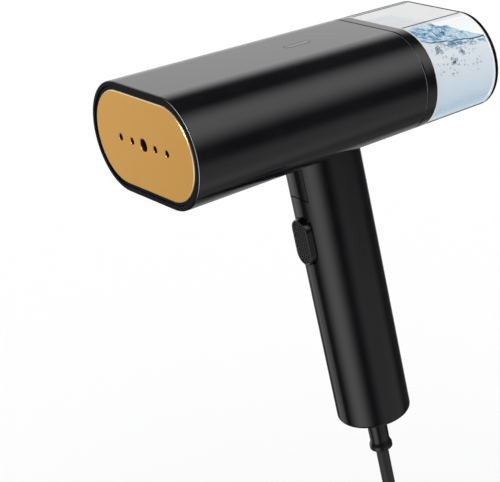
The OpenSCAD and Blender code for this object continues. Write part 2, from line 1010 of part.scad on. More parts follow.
// Two leads from the cord up past the switch and through the yoke
module handle_wiring() {
    run_x = 7.5;
    color([0.5, 0.12, 0.10])
        at_handle()
            for (side = [-1, 1])
                wire_path([[side * 1.5, pivot_front, cord_top + 0.6],
                           [side * run_x, pivot_front + 1, cord_top + 14],
                           [side * run_x, pivot_front + 1, trigger_z - 26],
                           [side * run_x, wire_y, trigger_z - 20],
                           [side * run_x, wire_y, trigger_z + 4],
                           [side * wire_x, wire_y, yoke_low - 6],
                           [side * wire_x, wire_y, yoke_low + 0.5]], wire_r);
}

module end_cap() {
    color(dark)
        at_handle()
            difference() {
                bar_z(bottom_z + cap_recess, bottom_z + cap_top, bore_r - eps, 0, pivot_front);
                bar_z(bottom_z, bottom_z + cap_top + 1, boot_neck_r + eps, 0, pivot_front);
                bar_z(bottom_z, bottom_z + flange_top + 2 * eps, boot_flange_r + eps, 0, pivot_front);
                for (side = [-1, 1]) {
                    bar_z(bottom_z, bottom_z + cap_top + 1, cap_screw_r + 0.35, side * cap_screw_x,
                          pivot_front);
                    bar_z(bottom_z, bottom_z + cap_seat + eps, cap_head_r + 0.1, side * cap_screw_x,
                          pivot_front);
                }
            }
}

module end_cap_screws() {
    color(steel)
        at_handle()
            for (side = [-1, 1]) {
                bar_z(bottom_z + 1.2, bottom_z + cap_seat, cap_head_r, side * cap_screw_x, pivot_front);
                bar_z(bottom_z + cap_seat - eps, bottom_z + 13, cap_screw_r, side * cap_screw_x,
                      pivot_front);
            }
}

module cord_clamp() {
    clamp = [18, 12, 6];
    clamp_low = bottom_z + cap_top + 2 * eps;
    color(dark)
        at_handle()
            difference() {
                translate([-clamp[0] / 2, pivot_front - clamp[1] / 2, clamp_low])
                    cube(clamp);
                bar_z(clamp_low - 1, clamp_low + clamp[2] + 1, cord_r + eps, 0, pivot_front);
            }
}

// Strain relief with a lip at its lower end
module cord_boot() {
    lip = 0.7;
    lip_len = 3.6;
    color(rubber)
        at_handle()
            translate([0, pivot_front, bottom_z])
                difference() {
                    union() {
                        bar_z(-boot_len, cap_top - 2 * eps, boot_neck_r);
                        bar_z(-boot_len, flange_top, boot_r);
                        bar_z(cap_recess + 2 * eps, flange_top, boot_flange_r);
                        bar_z(-boot_len, lip_len - boot_len, boot_r + lip);
                    }
                    bar_z(-boot_len - 1, cap_top + 1, cord_r + eps);
                }
}

// Places its children where the cord's bend ends, +Y towards the plug's pins
module at_plug() {
    at_handle()
        translate([0, pivot_front + cord_bend_r, cord_low])
            rotate([-handle_tilt, 0, 0])
                translate([0, 0, -cord_bend_r])
                    children();
}

// The cord hangs from the boot, bends level and ends in a crimped sleeve inside the plug
module cord() {
    color(black) {
        at_handle() {
            bar_z(cord_low, cord_top, cord_r, 0, pivot_front);
            translate([0, pivot_front + cord_bend_r, cord_low])
                rotate([90, 0, 90])
                    rotate([0, 0, 180])
                        rotate_extrude(angle = cord_turn)
                            translate([cord_bend_r, 0])
                                circle(r = cord_r);
        }
        at_plug()
            bar_y(-1, relief_len, sleeve_r);
    }
}

module plug_body() {
    flat_h = 26;
    color(black)
        at_plug()
            difference() {
                union() {
                    bar_y(-1.5, relief_len, relief_r);
                    bar_y(relief_len - 2, grip_y + 1, collar_r);
                    intersection() {
                        bar_y(grip_y, plug_face, grip_r);
                        translate([-far, 0, -flat_h / 2])
                            cube([2 * far, far, flat_h]);
                    }
                }
                bar_y(-2, relief_len + eps, sleeve_r + eps);
                for (side = [-1, 1])
                    bar_y(pin_root - eps, plug_face + 1, root_r + eps, side * plug_pitch / 2);
            }
}

module plug_pins() {
    color(steel)
        at_plug()
            for (side = [-1, 1])
                union() {
                    bar_y(pin_root, plug_face, root_r, side * plug_pitch / 2);
                    bar_y(plug_face, plug_face + plug_pin_len, plug_pin_r, side * plug_pitch / 2);
                }
}

head_shell();
front_bezel();
steam_plate();
plate_gasket();
boiler_body();
boiler_screws();
heating_element();
thermostat();
thermal_fuse();
boiler_inlet();
outlet_hose();
pump_tube();
pump_coil();
pump_frame();
pump_feet();
inlet_hose();
dock_bulkhead();
dock_seal();
indicator_lens();
indicator_led();
led_board();
head_wiring();
hinge_knuckle();
knuckle_screws();
tank_shell();
tank_lid();
tank_seal();
valve_body();
valve_poppet();
valve_spring();
filler_plug();
vent_valve();
water();
handle_tube();
hinge_yoke();
hinge_pin();
hinge_washers();
trigger();
trigger_spring();
switch_bracket();
microswitch();
switch_plunger();
handle_wiring();
end_cap();
end_cap_screws();
cord_clamp();
cord_boot();
cord();
plug_body();
plug_pins();
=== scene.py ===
"""Looks of the folding handheld steamer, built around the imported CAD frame. Lengths are in metres."""

import json
import math
import random

import bmesh
import bpy
from mathutils import Matrix, Vector


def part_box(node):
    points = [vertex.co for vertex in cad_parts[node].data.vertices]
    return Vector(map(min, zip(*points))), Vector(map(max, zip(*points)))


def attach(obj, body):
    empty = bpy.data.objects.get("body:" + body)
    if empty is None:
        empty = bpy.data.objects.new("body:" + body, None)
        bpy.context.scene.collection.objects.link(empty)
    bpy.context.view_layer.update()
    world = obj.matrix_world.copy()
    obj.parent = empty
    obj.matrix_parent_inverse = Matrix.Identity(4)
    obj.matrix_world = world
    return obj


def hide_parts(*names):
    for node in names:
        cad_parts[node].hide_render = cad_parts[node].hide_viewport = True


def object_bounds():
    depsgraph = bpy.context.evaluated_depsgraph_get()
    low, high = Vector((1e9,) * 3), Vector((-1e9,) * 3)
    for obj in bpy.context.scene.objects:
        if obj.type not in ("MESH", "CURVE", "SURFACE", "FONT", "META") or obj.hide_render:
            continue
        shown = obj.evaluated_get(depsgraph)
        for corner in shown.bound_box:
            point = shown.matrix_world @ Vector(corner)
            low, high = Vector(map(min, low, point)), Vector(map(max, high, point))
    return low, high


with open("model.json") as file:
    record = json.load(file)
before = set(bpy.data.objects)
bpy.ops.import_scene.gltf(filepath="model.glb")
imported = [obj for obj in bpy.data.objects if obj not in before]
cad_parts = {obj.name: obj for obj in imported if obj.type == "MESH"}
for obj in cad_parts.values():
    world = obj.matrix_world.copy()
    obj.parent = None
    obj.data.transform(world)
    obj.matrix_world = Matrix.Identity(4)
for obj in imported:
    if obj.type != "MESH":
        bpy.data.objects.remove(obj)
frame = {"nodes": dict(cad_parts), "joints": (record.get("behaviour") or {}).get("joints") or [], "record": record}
cad_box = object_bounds()

MM = 0.001
ARC_STEPS = 64                      # segments in a half circle of the main outlines


# ---------- places taken from the frame ----------

joints = {j["name"]: j for j in frame["joints"]}
pivot = Vector(joints["handle_fold"]["pos_m"])
press_axis = Vector(joints["trigger_press"]["axis"])
tilt = math.atan2(press_axis.z, press_axis.y)
handle_frame = Matrix.Translation(pivot) @ Matrix.Rotation(tilt, 4, "X")
to_handle = handle_frame.inverted()


def local_box(node):
    """Lowest and highest corner of a CAD node in the handle's frame."""
    points = [to_handle @ v.co for v in frame["nodes"][node].data.vertices]
    low = Vector([min(p[i] for p in points) for i in range(3)])
    high = Vector([max(p[i] for p in points) for i in range(3)])
    return low, high


head_lo, head_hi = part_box("head_shell")
tank_lo, tank_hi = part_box("tank_shell")
lid_lo, lid_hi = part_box("tank_lid")
plate_lo, plate_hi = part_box("steam_plate")
bezel_lo, bezel_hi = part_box("front_bezel")
lens_lo, lens_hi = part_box("indicator_lens")

rim_y = head_lo.y
rim_bevel = 0.8 * MM
side_x = head_hi.x - head_hi.z      # centre of each rounded side
glass_y = tank_lo.y
tank_end = tank_hi.y
collar_y = head_hi.y + 0.25 * MM
slope = (head_hi.z - tank_hi.z) / (glass_y - rim_y - rim_bevel)
wall = head_hi.z - bezel_hi.z - slope * (bezel_lo.y - rim_y - rim_bevel)
end_wall = tank_hi.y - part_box("water")[1].y - 0.1 * MM
tank_wall = end_wall - 0.3 * MM     # the tank's sides are thinner than its end
rim_start = tank_end - 2.4 * MM     # the tank's thick rear corner starts here
lean = math.atan(slope)             # of the head's flat top and underside

tube_lo, tube_hi = local_box("handle_tube")
cap_lo, cap_hi = local_box("end_cap")
knuckle_lo, knuckle_hi = local_box("hinge_knuckle")
boot_lo, boot_hi = local_box("cord_boot")
trigger_lo, trigger_hi = local_box("trigger")
handle_r = tube_hi.x
axis_y = (cap_lo.y + cap_hi.y) / 2
bottom_z = tube_lo.z
FLANGE = 1.5 * MM                   # the trigger's hidden flange spreads this far round its button
trigger_w = trigger_hi.x - trigger_lo.x - 2 * FLANGE
trigger_len = trigger_hi.z - trigger_lo.z - 2 * FLANGE
trigger_mid_z = (trigger_lo.z + trigger_hi.z) / 2
trigger_out = axis_y - handle_r - trigger_lo.y
knuckle_r = -knuckle_lo.z
knuckle_half = knuckle_hi.x
LENS_FLANGE = 1.5 * MM              # the window's hidden flange, on every side
lens_w = lens_hi.x - lens_lo.x - 2 * LENS_FLANGE
lens_len = lens_hi.y - lens_lo.y - 2 * LENS_FLANGE
lens_mid = (lens_lo.y + lens_hi.y) / 2
on_axis = handle_frame @ Matrix.Translation((0, axis_y, 0))
ALONG_X = Matrix.Rotation(math.radians(90), 4, "Y")
ALONG_Y = Matrix.Rotation(math.radians(-90), 4, "X")
OUT_OF_FRONT = Matrix.Rotation(math.radians(90), 4, "X")

STILL_LEVEL = 14.3 * MM             # water height at the near wall, at the tank's rear
SWELL = 5.0 * MM                    # how much it climbs towards the collar
SWELL_POWER = 2.2
WATER_GAP = 0.35 * MM               # between the wall and the water, where the bubbles cling

CORD_R = 3.2 * MM
CORD_HANG = 42 * MM                 # straight length below the strain relief
CORD_BEND = 55 * MM                 # radius of the bend towards the plug


def head_r(y):
    """Half-height of the head's outline at y."""
    return head_hi.z - slope * (y - rim_y - rim_bevel)


def swell_level(y):
    """Height of the water at the near wall."""
    along = (tank_end - y) / (tank_end - glass_y)
    return STILL_LEVEL + SWELL * along ** SWELL_POWER


# ---------- mesh helpers ----------

def fillet(points, closed=True, steps=5):
    """A 2D outline through (a, b, radius) points, each corner rounded to its radius."""
    out = []
    count = len(points)
    for i, (a, b, radius) in enumerate(points):
        corner = Vector((a, b))
        if radius <= 0 or (not closed and i in (0, count - 1)):
            out.append(corner)
            continue
        before = Vector(points[i - 1][:2]) - corner
        after = Vector(points[(i + 1) % count][:2]) - corner
        half = before.angle(after) / 2
        reach = radius / math.tan(half)
        start = corner + before.normalized() * reach
        end = corner + after.normalized() * reach
        inward = (before.normalized() + after.normalized()).normalized()
        middle = corner + inward * (radius / math.sin(half))
        first = start - middle
        turn = first.angle_signed(end - middle)
        for k in range(steps + 1):
            angle = -turn * k / steps
            out.append(middle + Matrix.Rotation(angle, 2) @ first)
    return out


def stadium(centre, r, steps=ARC_STEPS):
    """Outline of an oblong with round ends, wide along x."""
    ring = []
    for side in (1, -1):
        for k in range(steps + 1):
            angle = side * math.pi / 2 - math.pi * k / steps
            ring.append((side * centre + r * math.cos(angle), r * math.sin(angle)))
            if k == steps:
                inset = min(0.4 * MM, centre / 4)
                flat_z = ring[-1][1]
                for x in (centre - inset, 0, inset - centre):
                    ring.append((side * x, flat_z))
    return ring


def circle(r, steps=2 * ARC_STEPS):
    angles = [2 * math.pi * k / steps for k in range(steps)]
    return [(r * math.cos(angle), r * math.sin(angle)) for angle in angles]


def upright_stadium(width, length, steps=32):
    """Outline of an oblong, long along the second axis."""
    r = width / 2
    reach = (length - width) / 2
    ring = []
    for end in (1, -1):
        for k in range(steps + 1):
            angle = math.pi * k / steps + (0 if end > 0 else math.pi)
            ring.append((r * math.cos(angle), end * reach + r * math.sin(angle)))
    return ring


def loft(rings, closed=False):
    """Vertices and faces of a skin over rings of points: joined end to end, or capped at both ends.
    The caps are the last two faces."""
    verts = [point for ring in rings for point in ring]
    faces = []
    count, n = len(rings), len(rings[0])
    for i in range(count if closed else count - 1):
        a, b = i * n, ((i + 1) % count) * n
        for k in range(n):
            m = (k + 1) % n
            faces.append((a + k, a + m, b + m, b + k))
    if not closed:
        faces.append(tuple(range(n))[::-1])
        faces.append(tuple(range((count - 1) * n, count * n)))
    return verts, faces


def sweep(profile, outline, closed=True):
    """Vertices and faces of a profile of (along, radius) points carried round an outline.
    The outline lies in x and z and the sweep runs along y."""
    return loft([[(x, along, z) for x, z in outline(radius)] for along, radius in profile], closed)


def outward(mesh):
    """Turns every face outwards."""
    bm = bmesh.new()
    bm.from_mesh(mesh)
    bmesh.ops.recalc_face_normals(bm, faces=bm.faces)
    bm.to_mesh(mesh)
    bm.free()


def link_object(name, mesh):
    obj = bpy.data.objects.new(name, mesh)
    bpy.context.scene.collection.objects.link(obj)
    return obj


def mesh_object(name, verts, faces, matrix=None):
    mesh = bpy.data.meshes.new(name)
    mesh.from_pydata([tuple(v) for v in verts], [], faces)
    if matrix is not None:
        mesh.transform(matrix)
    outward(mesh)
    return link_object(name, mesh)


def bmesh_object(name, bm):
    """An object from a bmesh, which is used up."""
    mesh = bpy.data.meshes.new(name)
    bm.to_mesh(mesh)
    bm.free()
    return link_object(name, mesh)


def prism(name, outline, low, high, matrix):
    """A closed prism over a 2D outline, from low to high along the matrix's z axis."""
    rings = [[(x, y, level) for x, y in outline] for level in (low, high)]
    return mesh_object(name, *loft(rings), matrix)


def apply_modifiers(obj):
    depsgraph = bpy.context.evaluated_depsgraph_get()
    mesh = bpy.data.meshes.new_from_object(obj.evaluated_get(depsgraph))
    obj.modifiers.clear()
    obj.data = mesh


def boolean(obj, operation, *cutters):
    """Cuts, joins or meets obj with each cutter in turn, and removes the cutters."""
    for cutter in cutters:
        modifier = obj.modifiers.new("boolean", "BOOLEAN")
        modifier.operation = operation
        modifier.solver = "EXACT"
        modifier.object = cutter
        apply_modifiers(obj)
        bpy.data.objects.remove(cutter)


def soften(obj, width=0.2 * MM, segments=2, angle=38):
    """Rounds the edges left sharp by cutting."""
    if width:
        modifier = obj.modifiers.new("edge_round", "BEVEL")
        modifier.width = width
        modifier.segments = segments
        modifier.limit_method = "ANGLE"
        modifier.angle_limit = math.radians(angle)
        modifier.miter_outer = "MITER_ARC"
        apply_modifiers(obj)


def finish_piece(obj, body, material, replaced=(), sharp=32):
    """Smooth shading, materials and body of one piece; hides the CAD parts it replaces."""
    mesh = obj.data
    mesh.materials.clear()
    for one in material if isinstance(material, (list, tuple)) else [material]:
        mesh.materials.append(one)
    mesh.polygons.foreach_set("use_smooth", [True] * len(mesh.polygons))
    mesh.set_sharp_from_angle(angle=math.radians(sharp))
    weighted = obj.modifiers.new("even_normals", "WEIGHTED_NORMAL")
    weighted.keep_sharp = True
    weighted.weight = 60
    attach(obj, body)
    if replaced:
        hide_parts(*replaced)
    return obj


# ---------- material helpers ----------

class Tree:
    """Short calls for building a node tree."""

    def __init__(self, tree):
        self.tree = tree

    def add(self, kind, inputs=None, **settings):
        made = self.tree.nodes.new(kind)
        for key, value in settings.items():
            setattr(made, key, value)
        for key, value in (inputs or {}).items():
            self.put(made.inputs[key], value)
        return made

    def put(self, socket, value):
        if isinstance(value, bpy.types.NodeSocket):
            self.tree.links.new(value, socket)
        elif isinstance(value, tuple) and len(value) == 3 and socket.type == "RGBA":
            socket.default_value = (*value, 1.0)
        else:
            socket.default_value = value

    def math(self, operation, *values, clamp=False):
        made = self.add("ShaderNodeMath", operation=operation, use_clamp=clamp)
        for socket, value in zip(made.inputs, values):
            self.put(socket, value)
        return made.outputs[0]

    def times(self, a, b, clamp=False):
        return self.math("MULTIPLY", a, b, clamp=clamp)

    def plus(self, a, b, clamp=False):
        return self.math("ADD", a, b, clamp=clamp)

    def noise(self, scale, detail=3.0, roughness=0.5, vector=None, distortion=0.0):
        inputs = {"Scale": scale, "Detail": detail, "Roughness": roughness, "Distortion": distortion}
        if vector is not None:
            inputs["Vector"] = vector
        return self.add("ShaderNodeTexNoise", inputs).outputs[0]

    def ramp(self, value, low, high, to_low=0.0, to_high=1.0, smooth=False):
        made = self.add(
            "ShaderNodeMapRange",
            {"Value": value, "From Min": low, "From Max": high, "To Min": to_low, "To Max": to_high},
            interpolation_type="SMOOTHSTEP" if smooth else "LINEAR",
        )
        return made.outputs[0]

    def mix(self, factor, a, b):
        made = self.add("ShaderNodeMix", data_type="RGBA")
        self.put(made.inputs[0], factor)
        for socket, value in ((made.inputs[6], a), (made.inputs[7], b)):
            self.put(socket, value)
        return made.outputs[2]

    def vary(self, noise, a, b):
        """Colour that drifts between a and b with a noise."""
        return self.mix(self.ramp(noise, 0.3, 0.7), a, b)

    def split(self, vector):
        """The x, y and z of a vector."""
        return self.add("ShaderNodeSeparateXYZ", {"Vector": vector}).outputs

    def facing_away(self):
        """0 where the surface faces the eye, 1 where it is edge on."""
        return self.add("ShaderNodeLayerWeight", {"Blend": 0.5}).outputs["Facing"]

    def bump(self, height, distance, strength=1.0, normal=None):
        inputs = {"Height": height, "Distance": distance, "Strength": strength}
        if normal is not None:
            inputs["Normal"] = normal
        return self.add("ShaderNodeBump", inputs).outputs[0]


def new_material(name):
    """An empty node material: its tree, its output and object coordinates."""
    material = bpy.data.materials.new(name)
    material.use_nodes = True
    material.node_tree.nodes.clear()
    tree = Tree(material.node_tree)
    output = tree.add("ShaderNodeOutputMaterial")
    place = tree.add("ShaderNodeTexCoord").outputs["Object"]
    return material, tree, output, place


def principled(tree, output, inputs):
    shader = tree.add("ShaderNodeBsdfPrincipled", inputs)
    tree.put(output.inputs["Surface"], shader.outputs[0])


def surface(name, colour, rough, metal=0.0, grain=2500, grain_depth=0.004, swing=0.04, blotch=60,
            shade=0.85, coat=0.0, sheen=0.0, subsurface=0.0, edge=None, specular=0.5, stretch=None):
    """Moulded, cast or drawn material: fine grain in the bump, uneven gloss and colour, worn edges."""
    material, tree, output, place = new_material(name)
    if stretch is not None:
        place = tree.add("ShaderNodeMapping", {"Vector": place, "Scale": stretch}).outputs[0]
    cloud = tree.noise(blotch, 4.0, 0.6, place)
    fine = tree.noise(grain, 2.0, 0.5, place)
    low = tuple(c * shade for c in colour)
    tint = tree.vary(cloud, low, colour)
    if edge is not None:
        point = tree.add("ShaderNodeNewGeometry").outputs["Pointiness"]
        tint = tree.mix(tree.ramp(point, 0.52, 0.6, 0.0, 0.6), tint, edge)
    gloss = tree.plus(tree.ramp(cloud, 0.25, 0.75, rough - swing, rough + swing),
                      tree.ramp(fine, 0.3, 0.7, -swing / 3, swing / 3), clamp=True)
    principled(tree, output, {
        "Base Color": tint,
        "Roughness": gloss,
        "Metallic": metal,
        "Specular IOR Level": specular,
        "Coat Weight": coat,
        "Coat Roughness": 0.08,
        "Sheen Weight": sheen,
        "Subsurface Weight": subsurface,
        "Subsurface Scale": 0.002,
        "Normal": tree.bump(fine, grain_depth * MM)})
    return material


def gloss_black(name, rough, ripple, haze_and_painted_sheen, shine=0.5):
    """Polished black plastic: faint orange peel, fine dust haze and a soft clear sheen."""
    material, tree, output, place = new_material(name)
    peel = tree.noise(260, 2.0, 0.45, place)
    dust = tree.noise(4200, 1.0, 0.4, place)
    smear = tree.noise(38, 5.0, 0.65, place, 0.6)
    tint = tree.mix(tree.ramp(smear, 0.35, 0.7), (0.0032, 0.0031, 0.0042), (0.0058, 0.0056, 0.0068))
    gloss = tree.plus(tree.ramp(smear, 0.3, 0.75, rough, rough + haze_and_painted_sheen),
                      tree.ramp(dust, 0.55, 0.8, 0.0, haze_and_painted_sheen), clamp=True)
    soft = tree.bump(peel, ripple * MM)
    principled(tree, output, {
        "Base Color": tint, "Roughness": gloss, "IOR": 1.5, "Specular IOR Level": shine,
        "Normal": tree.bump(dust, 0.0008 * MM, 1.0, soft)})
    return material


def gold_plate(name):
    """Satin champagne coating on aluminium: very fine blasted grain and slight colour drift."""
    material, tree, output, place = new_material(name)
    drift = tree.noise(55, 3.0, 0.55, place)
    blast = tree.noise(5200, 2.0, 0.6, place)
    tint = tree.vary(drift, (0.745, 0.386, 0.067), (0.775, 0.405, 0.074))
    gloss = tree.plus(tree.ramp(drift, 0.3, 0.7, 0.36, 0.42),
                      tree.ramp(blast, 0.3, 0.7, -0.05, 0.05))
    principled(tree, output, {
        "Base Color": tint, "Roughness": gloss, "Metallic": 0.72, "Normal": tree.bump(blast, 0.0035 * MM)})
    return material


def layers_crossed(tree):
    """How many see-through surfaces the eye's ray has crossed already."""
    return tree.add("ShaderNodeLightPath").outputs["Transparent Depth"]


def see_through(tree, output, tint, rough, ior=1.46, reflect=1.0, last_layer=1, normal=None, milk=None):
    """Light passes straight through tinted, and the nearest surfaces add their own reflection.
    milk is a (share, colour) pair of light scattered back by the surface."""
    near = tree.math("LESS_THAN", layers_crossed(tree), last_layer + 0.5)
    fresnel_inputs = {"IOR": ior}
    gloss_inputs = {"Roughness": rough}
    if normal is not None:
        fresnel_inputs["Normal"] = normal
        gloss_inputs["Normal"] = normal
    fresnel = tree.add("ShaderNodeFresnel", fresnel_inputs).outputs[0]
    share = tree.times(tree.times(fresnel, reflect), near, clamp=True)
    through = tree.add("ShaderNodeBsdfTransparent", {"Color": tint})
    body = through
    if milk is not None:
        scatter = tree.add("ShaderNodeBsdfDiffuse", {"Color": milk[1]})
        body = tree.add("ShaderNodeMixShader")
        tree.put(body.inputs[0], milk[0])
        tree.put(body.inputs[1], through.outputs[0])
        tree.put(body.inputs[2], scatter.outputs[0])
    gloss = tree.add("ShaderNodeBsdfGlossy", gloss_inputs)
    mixed = tree.add("ShaderNodeMixShader")
    tree.put(mixed.inputs[0], share)
    tree.put(mixed.inputs[1], body.outputs[0])
    tree.put(mixed.inputs[2], gloss.outputs[0])
    tree.put(output.inputs["Surface"], mixed.outputs[0])


def surface_level(tree, y):
    """swell_level() as nodes."""
    along = tree.math("DIVIDE", tree.math("SUBTRACT", tank_end, y), tank_end - glass_y)
    rise = tree.times(tree.math("POWER", along, SWELL_POWER), SWELL)
    return tree.plus(rise, STILL_LEVEL)


def water_colour(tree, z):
    """Pale near the surface, light blue lower down."""
    deep = tree.ramp(z, 10 * MM, -tank_hi.z, smooth=True)
    return tree.mix(deep, (0.79, 0.835, 0.875), (0.50, 0.67, 0.80))


def clear_plastic(name):
    """Clear tank wall with painted shade at its silhouette and along the flat's edges, and a painted pale sheen at
    a shallow angle.
    Below the water level it bends the water's colour out to the rim."""
    material, tree, output, place = new_material(name)
    outer = tree.math("LESS_THAN", layers_crossed(tree), 0.5)
    edge_on = tree.facing_away()
    x, y, z = tree.split(place)
    on_side = tree.times(tree.math("LESS_THAN", y, rim_start + 0.1 * MM), outer)
    flow = tree.noise(90, 2.0, 0.5, place)

    # painted shade: the dark outline, and dark lines on the creases where the flat top meets the round sides
    silhouette = tree.times(tree.ramp(edge_on, 0.79, 0.85, smooth=True), outer)
    away = tree.math("ABSOLUTE", tree.math("SUBTRACT", tree.math("ABSOLUTE", x), side_x))
    on_top = tree.times(tree.ramp(z, 0.0, 10 * MM), on_side)
    crease = tree.times(tree.ramp(away, 0.75 * MM, 1.05 * MM, 0.92, 0.0), on_top)
    tint = tree.mix(silhouette, (0.99, 0.993, 0.995), (0.06, 0.06, 0.065))
    tint = tree.mix(crease, tint, (0.04, 0.04, 0.045))

    # painted sheen: the pale flat top, seen at a shallow angle
    upward = tree.split(tree.add("ShaderNodeNewGeometry").outputs["Normal"])[2]
    flat = tree.ramp(upward, 0.97, 0.998, smooth=True)
    haze_and_painted_sheen = tree.times(tree.times(flat, outer), tree.ramp(edge_on, 0.35, 0.62))
    haze_and_painted_sheen = tree.times(haze_and_painted_sheen, tree.math("SUBTRACT", 0.8, crease), clamp=True)

    # painted highlights: light lines just behind the collar and just before the rim
    line = tree.math("MAXIMUM", tree.ramp(y, rim_start - 0.5 * MM, rim_start - 0.3 * MM),
                     tree.ramp(y, glass_y + 0.7 * MM, glass_y + 0.5 * MM))
    line = tree.times(line, tree.times(on_side, 0.9))

    # the water's colour, bent out to the silhouette and the rim
    under = tree.ramp(tree.math("SUBTRACT", surface_level(tree, y), z), 0.0, 0.6 * MM)
    bent = tree.math("MAXIMUM", tree.ramp(edge_on, 0.56, 0.66),
                     tree.ramp(y, rim_start - 1.4 * MM, rim_start - 0.8 * MM))
    bent = tree.times(tree.times(bent, under), on_side)
    bent = tree.times(bent, tree.math("SUBTRACT", 0.75, silhouette), clamp=True)

    white = tree.vary(flow, (0.68, 0.68, 0.685), (0.71, 0.71, 0.715))
    colour = tree.mix(tree.math("GREATER_THAN", bent, haze_and_painted_sheen), white, water_colour(tree, z))
    colour = tree.mix(line, colour, (0.72, 0.725, 0.73))
    share = tree.math("MAXIMUM", tree.math("MAXIMUM", haze_and_painted_sheen, bent), line)
    share = tree.times(share, tree.math("SUBTRACT", 1.0, silhouette), clamp=True)
    see_through(tree, output, tint, tree.ramp(flow, 0.3, 0.7, 0.02, 0.06), 1.46, 0.6, 0,
                tree.bump(flow, 0.01 * MM), (share, colour))
    return material


def clear_rim(name):
    """The tank's thick rear corner, where the moulded edge gathers dark reflections, painted as a near-black
    see-through tint.
    """
    material, tree, output, place = new_material(name)
    outer = tree.math("LESS_THAN", layers_crossed(tree), 0.5)
    height = tree.split(place)[2]
    lift = tree.math("ABSOLUTE", tree.math("DIVIDE", height, tank_hi.z))
    swirl = tree.noise(400, 2.0, 0.5, place)
    dark = tree.vary(swirl, (0.002, 0.002, 0.0025), (0.006, 0.006, 0.007))
    tint = tree.mix(tree.ramp(lift, 0.93, 1.0, smooth=True), dark, (0.05, 0.05, 0.055))
    tint = tree.mix(outer, (0.99, 0.99, 0.99), tint)
    see_through(tree, output, tint, 0.06, 1.46, 0.2, 0)
    return material


def water_body(name):
    """Still water: pale at the top, light blue lower down, with dark glints just under the surface."""
    material, tree, output, place = new_material(name)
    x, y, z = tree.split(place)
    cloud = tree.noise(45, 3.0, 0.6, place, 0.8)
    drift = tree.mix(tree.ramp(cloud, 0.35, 0.7), (0.70, 0.76, 0.83), (0.84, 0.87, 0.90))
    scatter = tree.mix(0.12, water_colour(tree, z), drift)
    under = tree.math("SUBTRACT", surface_level(tree, y), z)
    band = tree.times(tree.ramp(under, 0.1 * MM, 0.5 * MM),
                      tree.ramp(under, 3.4 * MM, 1.2 * MM))
    band = tree.times(band, tree.ramp(y, glass_y + 7 * MM, glass_y + 15 * MM))
    stretch = tree.add("ShaderNodeMapping", {"Vector": place, "Scale": (1, 0.7, 1.3)}).outputs[0]
    glint = tree.noise(330, 3.0, 0.6, stretch, 1.8)
    dark = tree.times(tree.ramp(glint, 0.47, 0.54), band)
    scatter = tree.mix(dark, scatter, (0.03, 0.20, 0.38))
    see_through(tree, output, (0.90, 0.94, 0.97), 0.05, 1.33, 0.3, 2, milk=(0.80, scatter))
    return material


def water_top(name):
    """Moving water surface: broken blue ripples painted with dark blue shade and painted bright highlights in the
    gaps.
    """
    material, tree, output, place = new_material(name)
    stretch = tree.add("ShaderNodeMapping", {"Vector": place, "Scale": (0.55, 1.1, 0.4)}).outputs[0]
    broad = tree.noise(150, 4.0, 0.6, stretch, 1.6)
    fine = tree.noise(480, 3.0, 0.65, stretch, 2.2)
    blend = tree.plus(tree.times(broad, 0.55), tree.times(fine, 0.45))
    ramp = tree.add("ShaderNodeValToRGB", {"Fac": blend})
    # painted light: the dark stops paint the ripples' shade, the pale stops their highlights
    stops = [(0.41, (0.012, 0.09, 0.22)), (0.455, (0.08, 0.30, 0.56)), (0.495, (0.33, 0.60, 0.80)),
             (0.535, (0.62, 0.79, 0.88)), (0.59, (0.83, 0.89, 0.92))]
    while len(ramp.color_ramp.elements) < len(stops):
        ramp.color_ramp.elements.new(0.5)
    for element, (position, colour) in zip(ramp.color_ramp.elements, stops):
        element.position = position
        element.color = (*colour, 1.0)
    see_through(tree, output, (0.75, 0.88, 0.96), 0.05, 1.33, 0.8, 2, tree.bump(fine, 0.25 * MM),
                (0.80, ramp.outputs["Color"]))
    return material


def water_line(name):
    """The thin dark line where the water climbs the wall: painted shade for the light bent away at the meniscus.
    """
    material, tree, output, place = new_material(name)
    wander = tree.noise(300, 3.0, 0.6, place)
    tint = tree.mix(tree.ramp(wander, 0.35, 0.65), (0.008, 0.05, 0.11), (0.03, 0.13, 0.24))
    see_through(tree, output, (0.2, 0.4, 0.55), 0.08, 1.33, 0.3, 2, milk=(0.95, tint))
    return material


def bubble(name):
    """Air bubbles: clear in the middle, with painted dark blue-grey shade round the rim where they turn edge on.
    """
    material, tree, output, place = new_material(name)
    jitter = tree.noise(900, 2.0, 0.5, place)
    # painted shade for the edge-on rim
    rim = tree.vary(jitter, (0.01, 0.09, 0.16), (0.05, 0.22, 0.33))
    tint = tree.mix(tree.ramp(tree.facing_away(), 0.22, 0.5, smooth=True), (0.98, 0.99, 1.0), rim)
    see_through(tree, output, tint, 0.03, 1.33, 1.0, 3)
    return material


def smoked(name):
    """Smoked window: nearly black, polished, with a little light left in its depth."""
    material, tree, output, place = new_material(name)
    cloud = tree.noise(300, 3.0, 0.5, place)
    tint = tree.vary(cloud, (0.012, 0.011, 0.012), (0.022, 0.02, 0.02))
    principled(tree, output, {
        "Base Color": tint, "Roughness": tree.ramp(cloud, 0.3, 0.7, 0.10, 0.16), "Coat Weight": 0.2,
        "Normal": tree.bump(cloud, 0.004 * MM)})
    return material


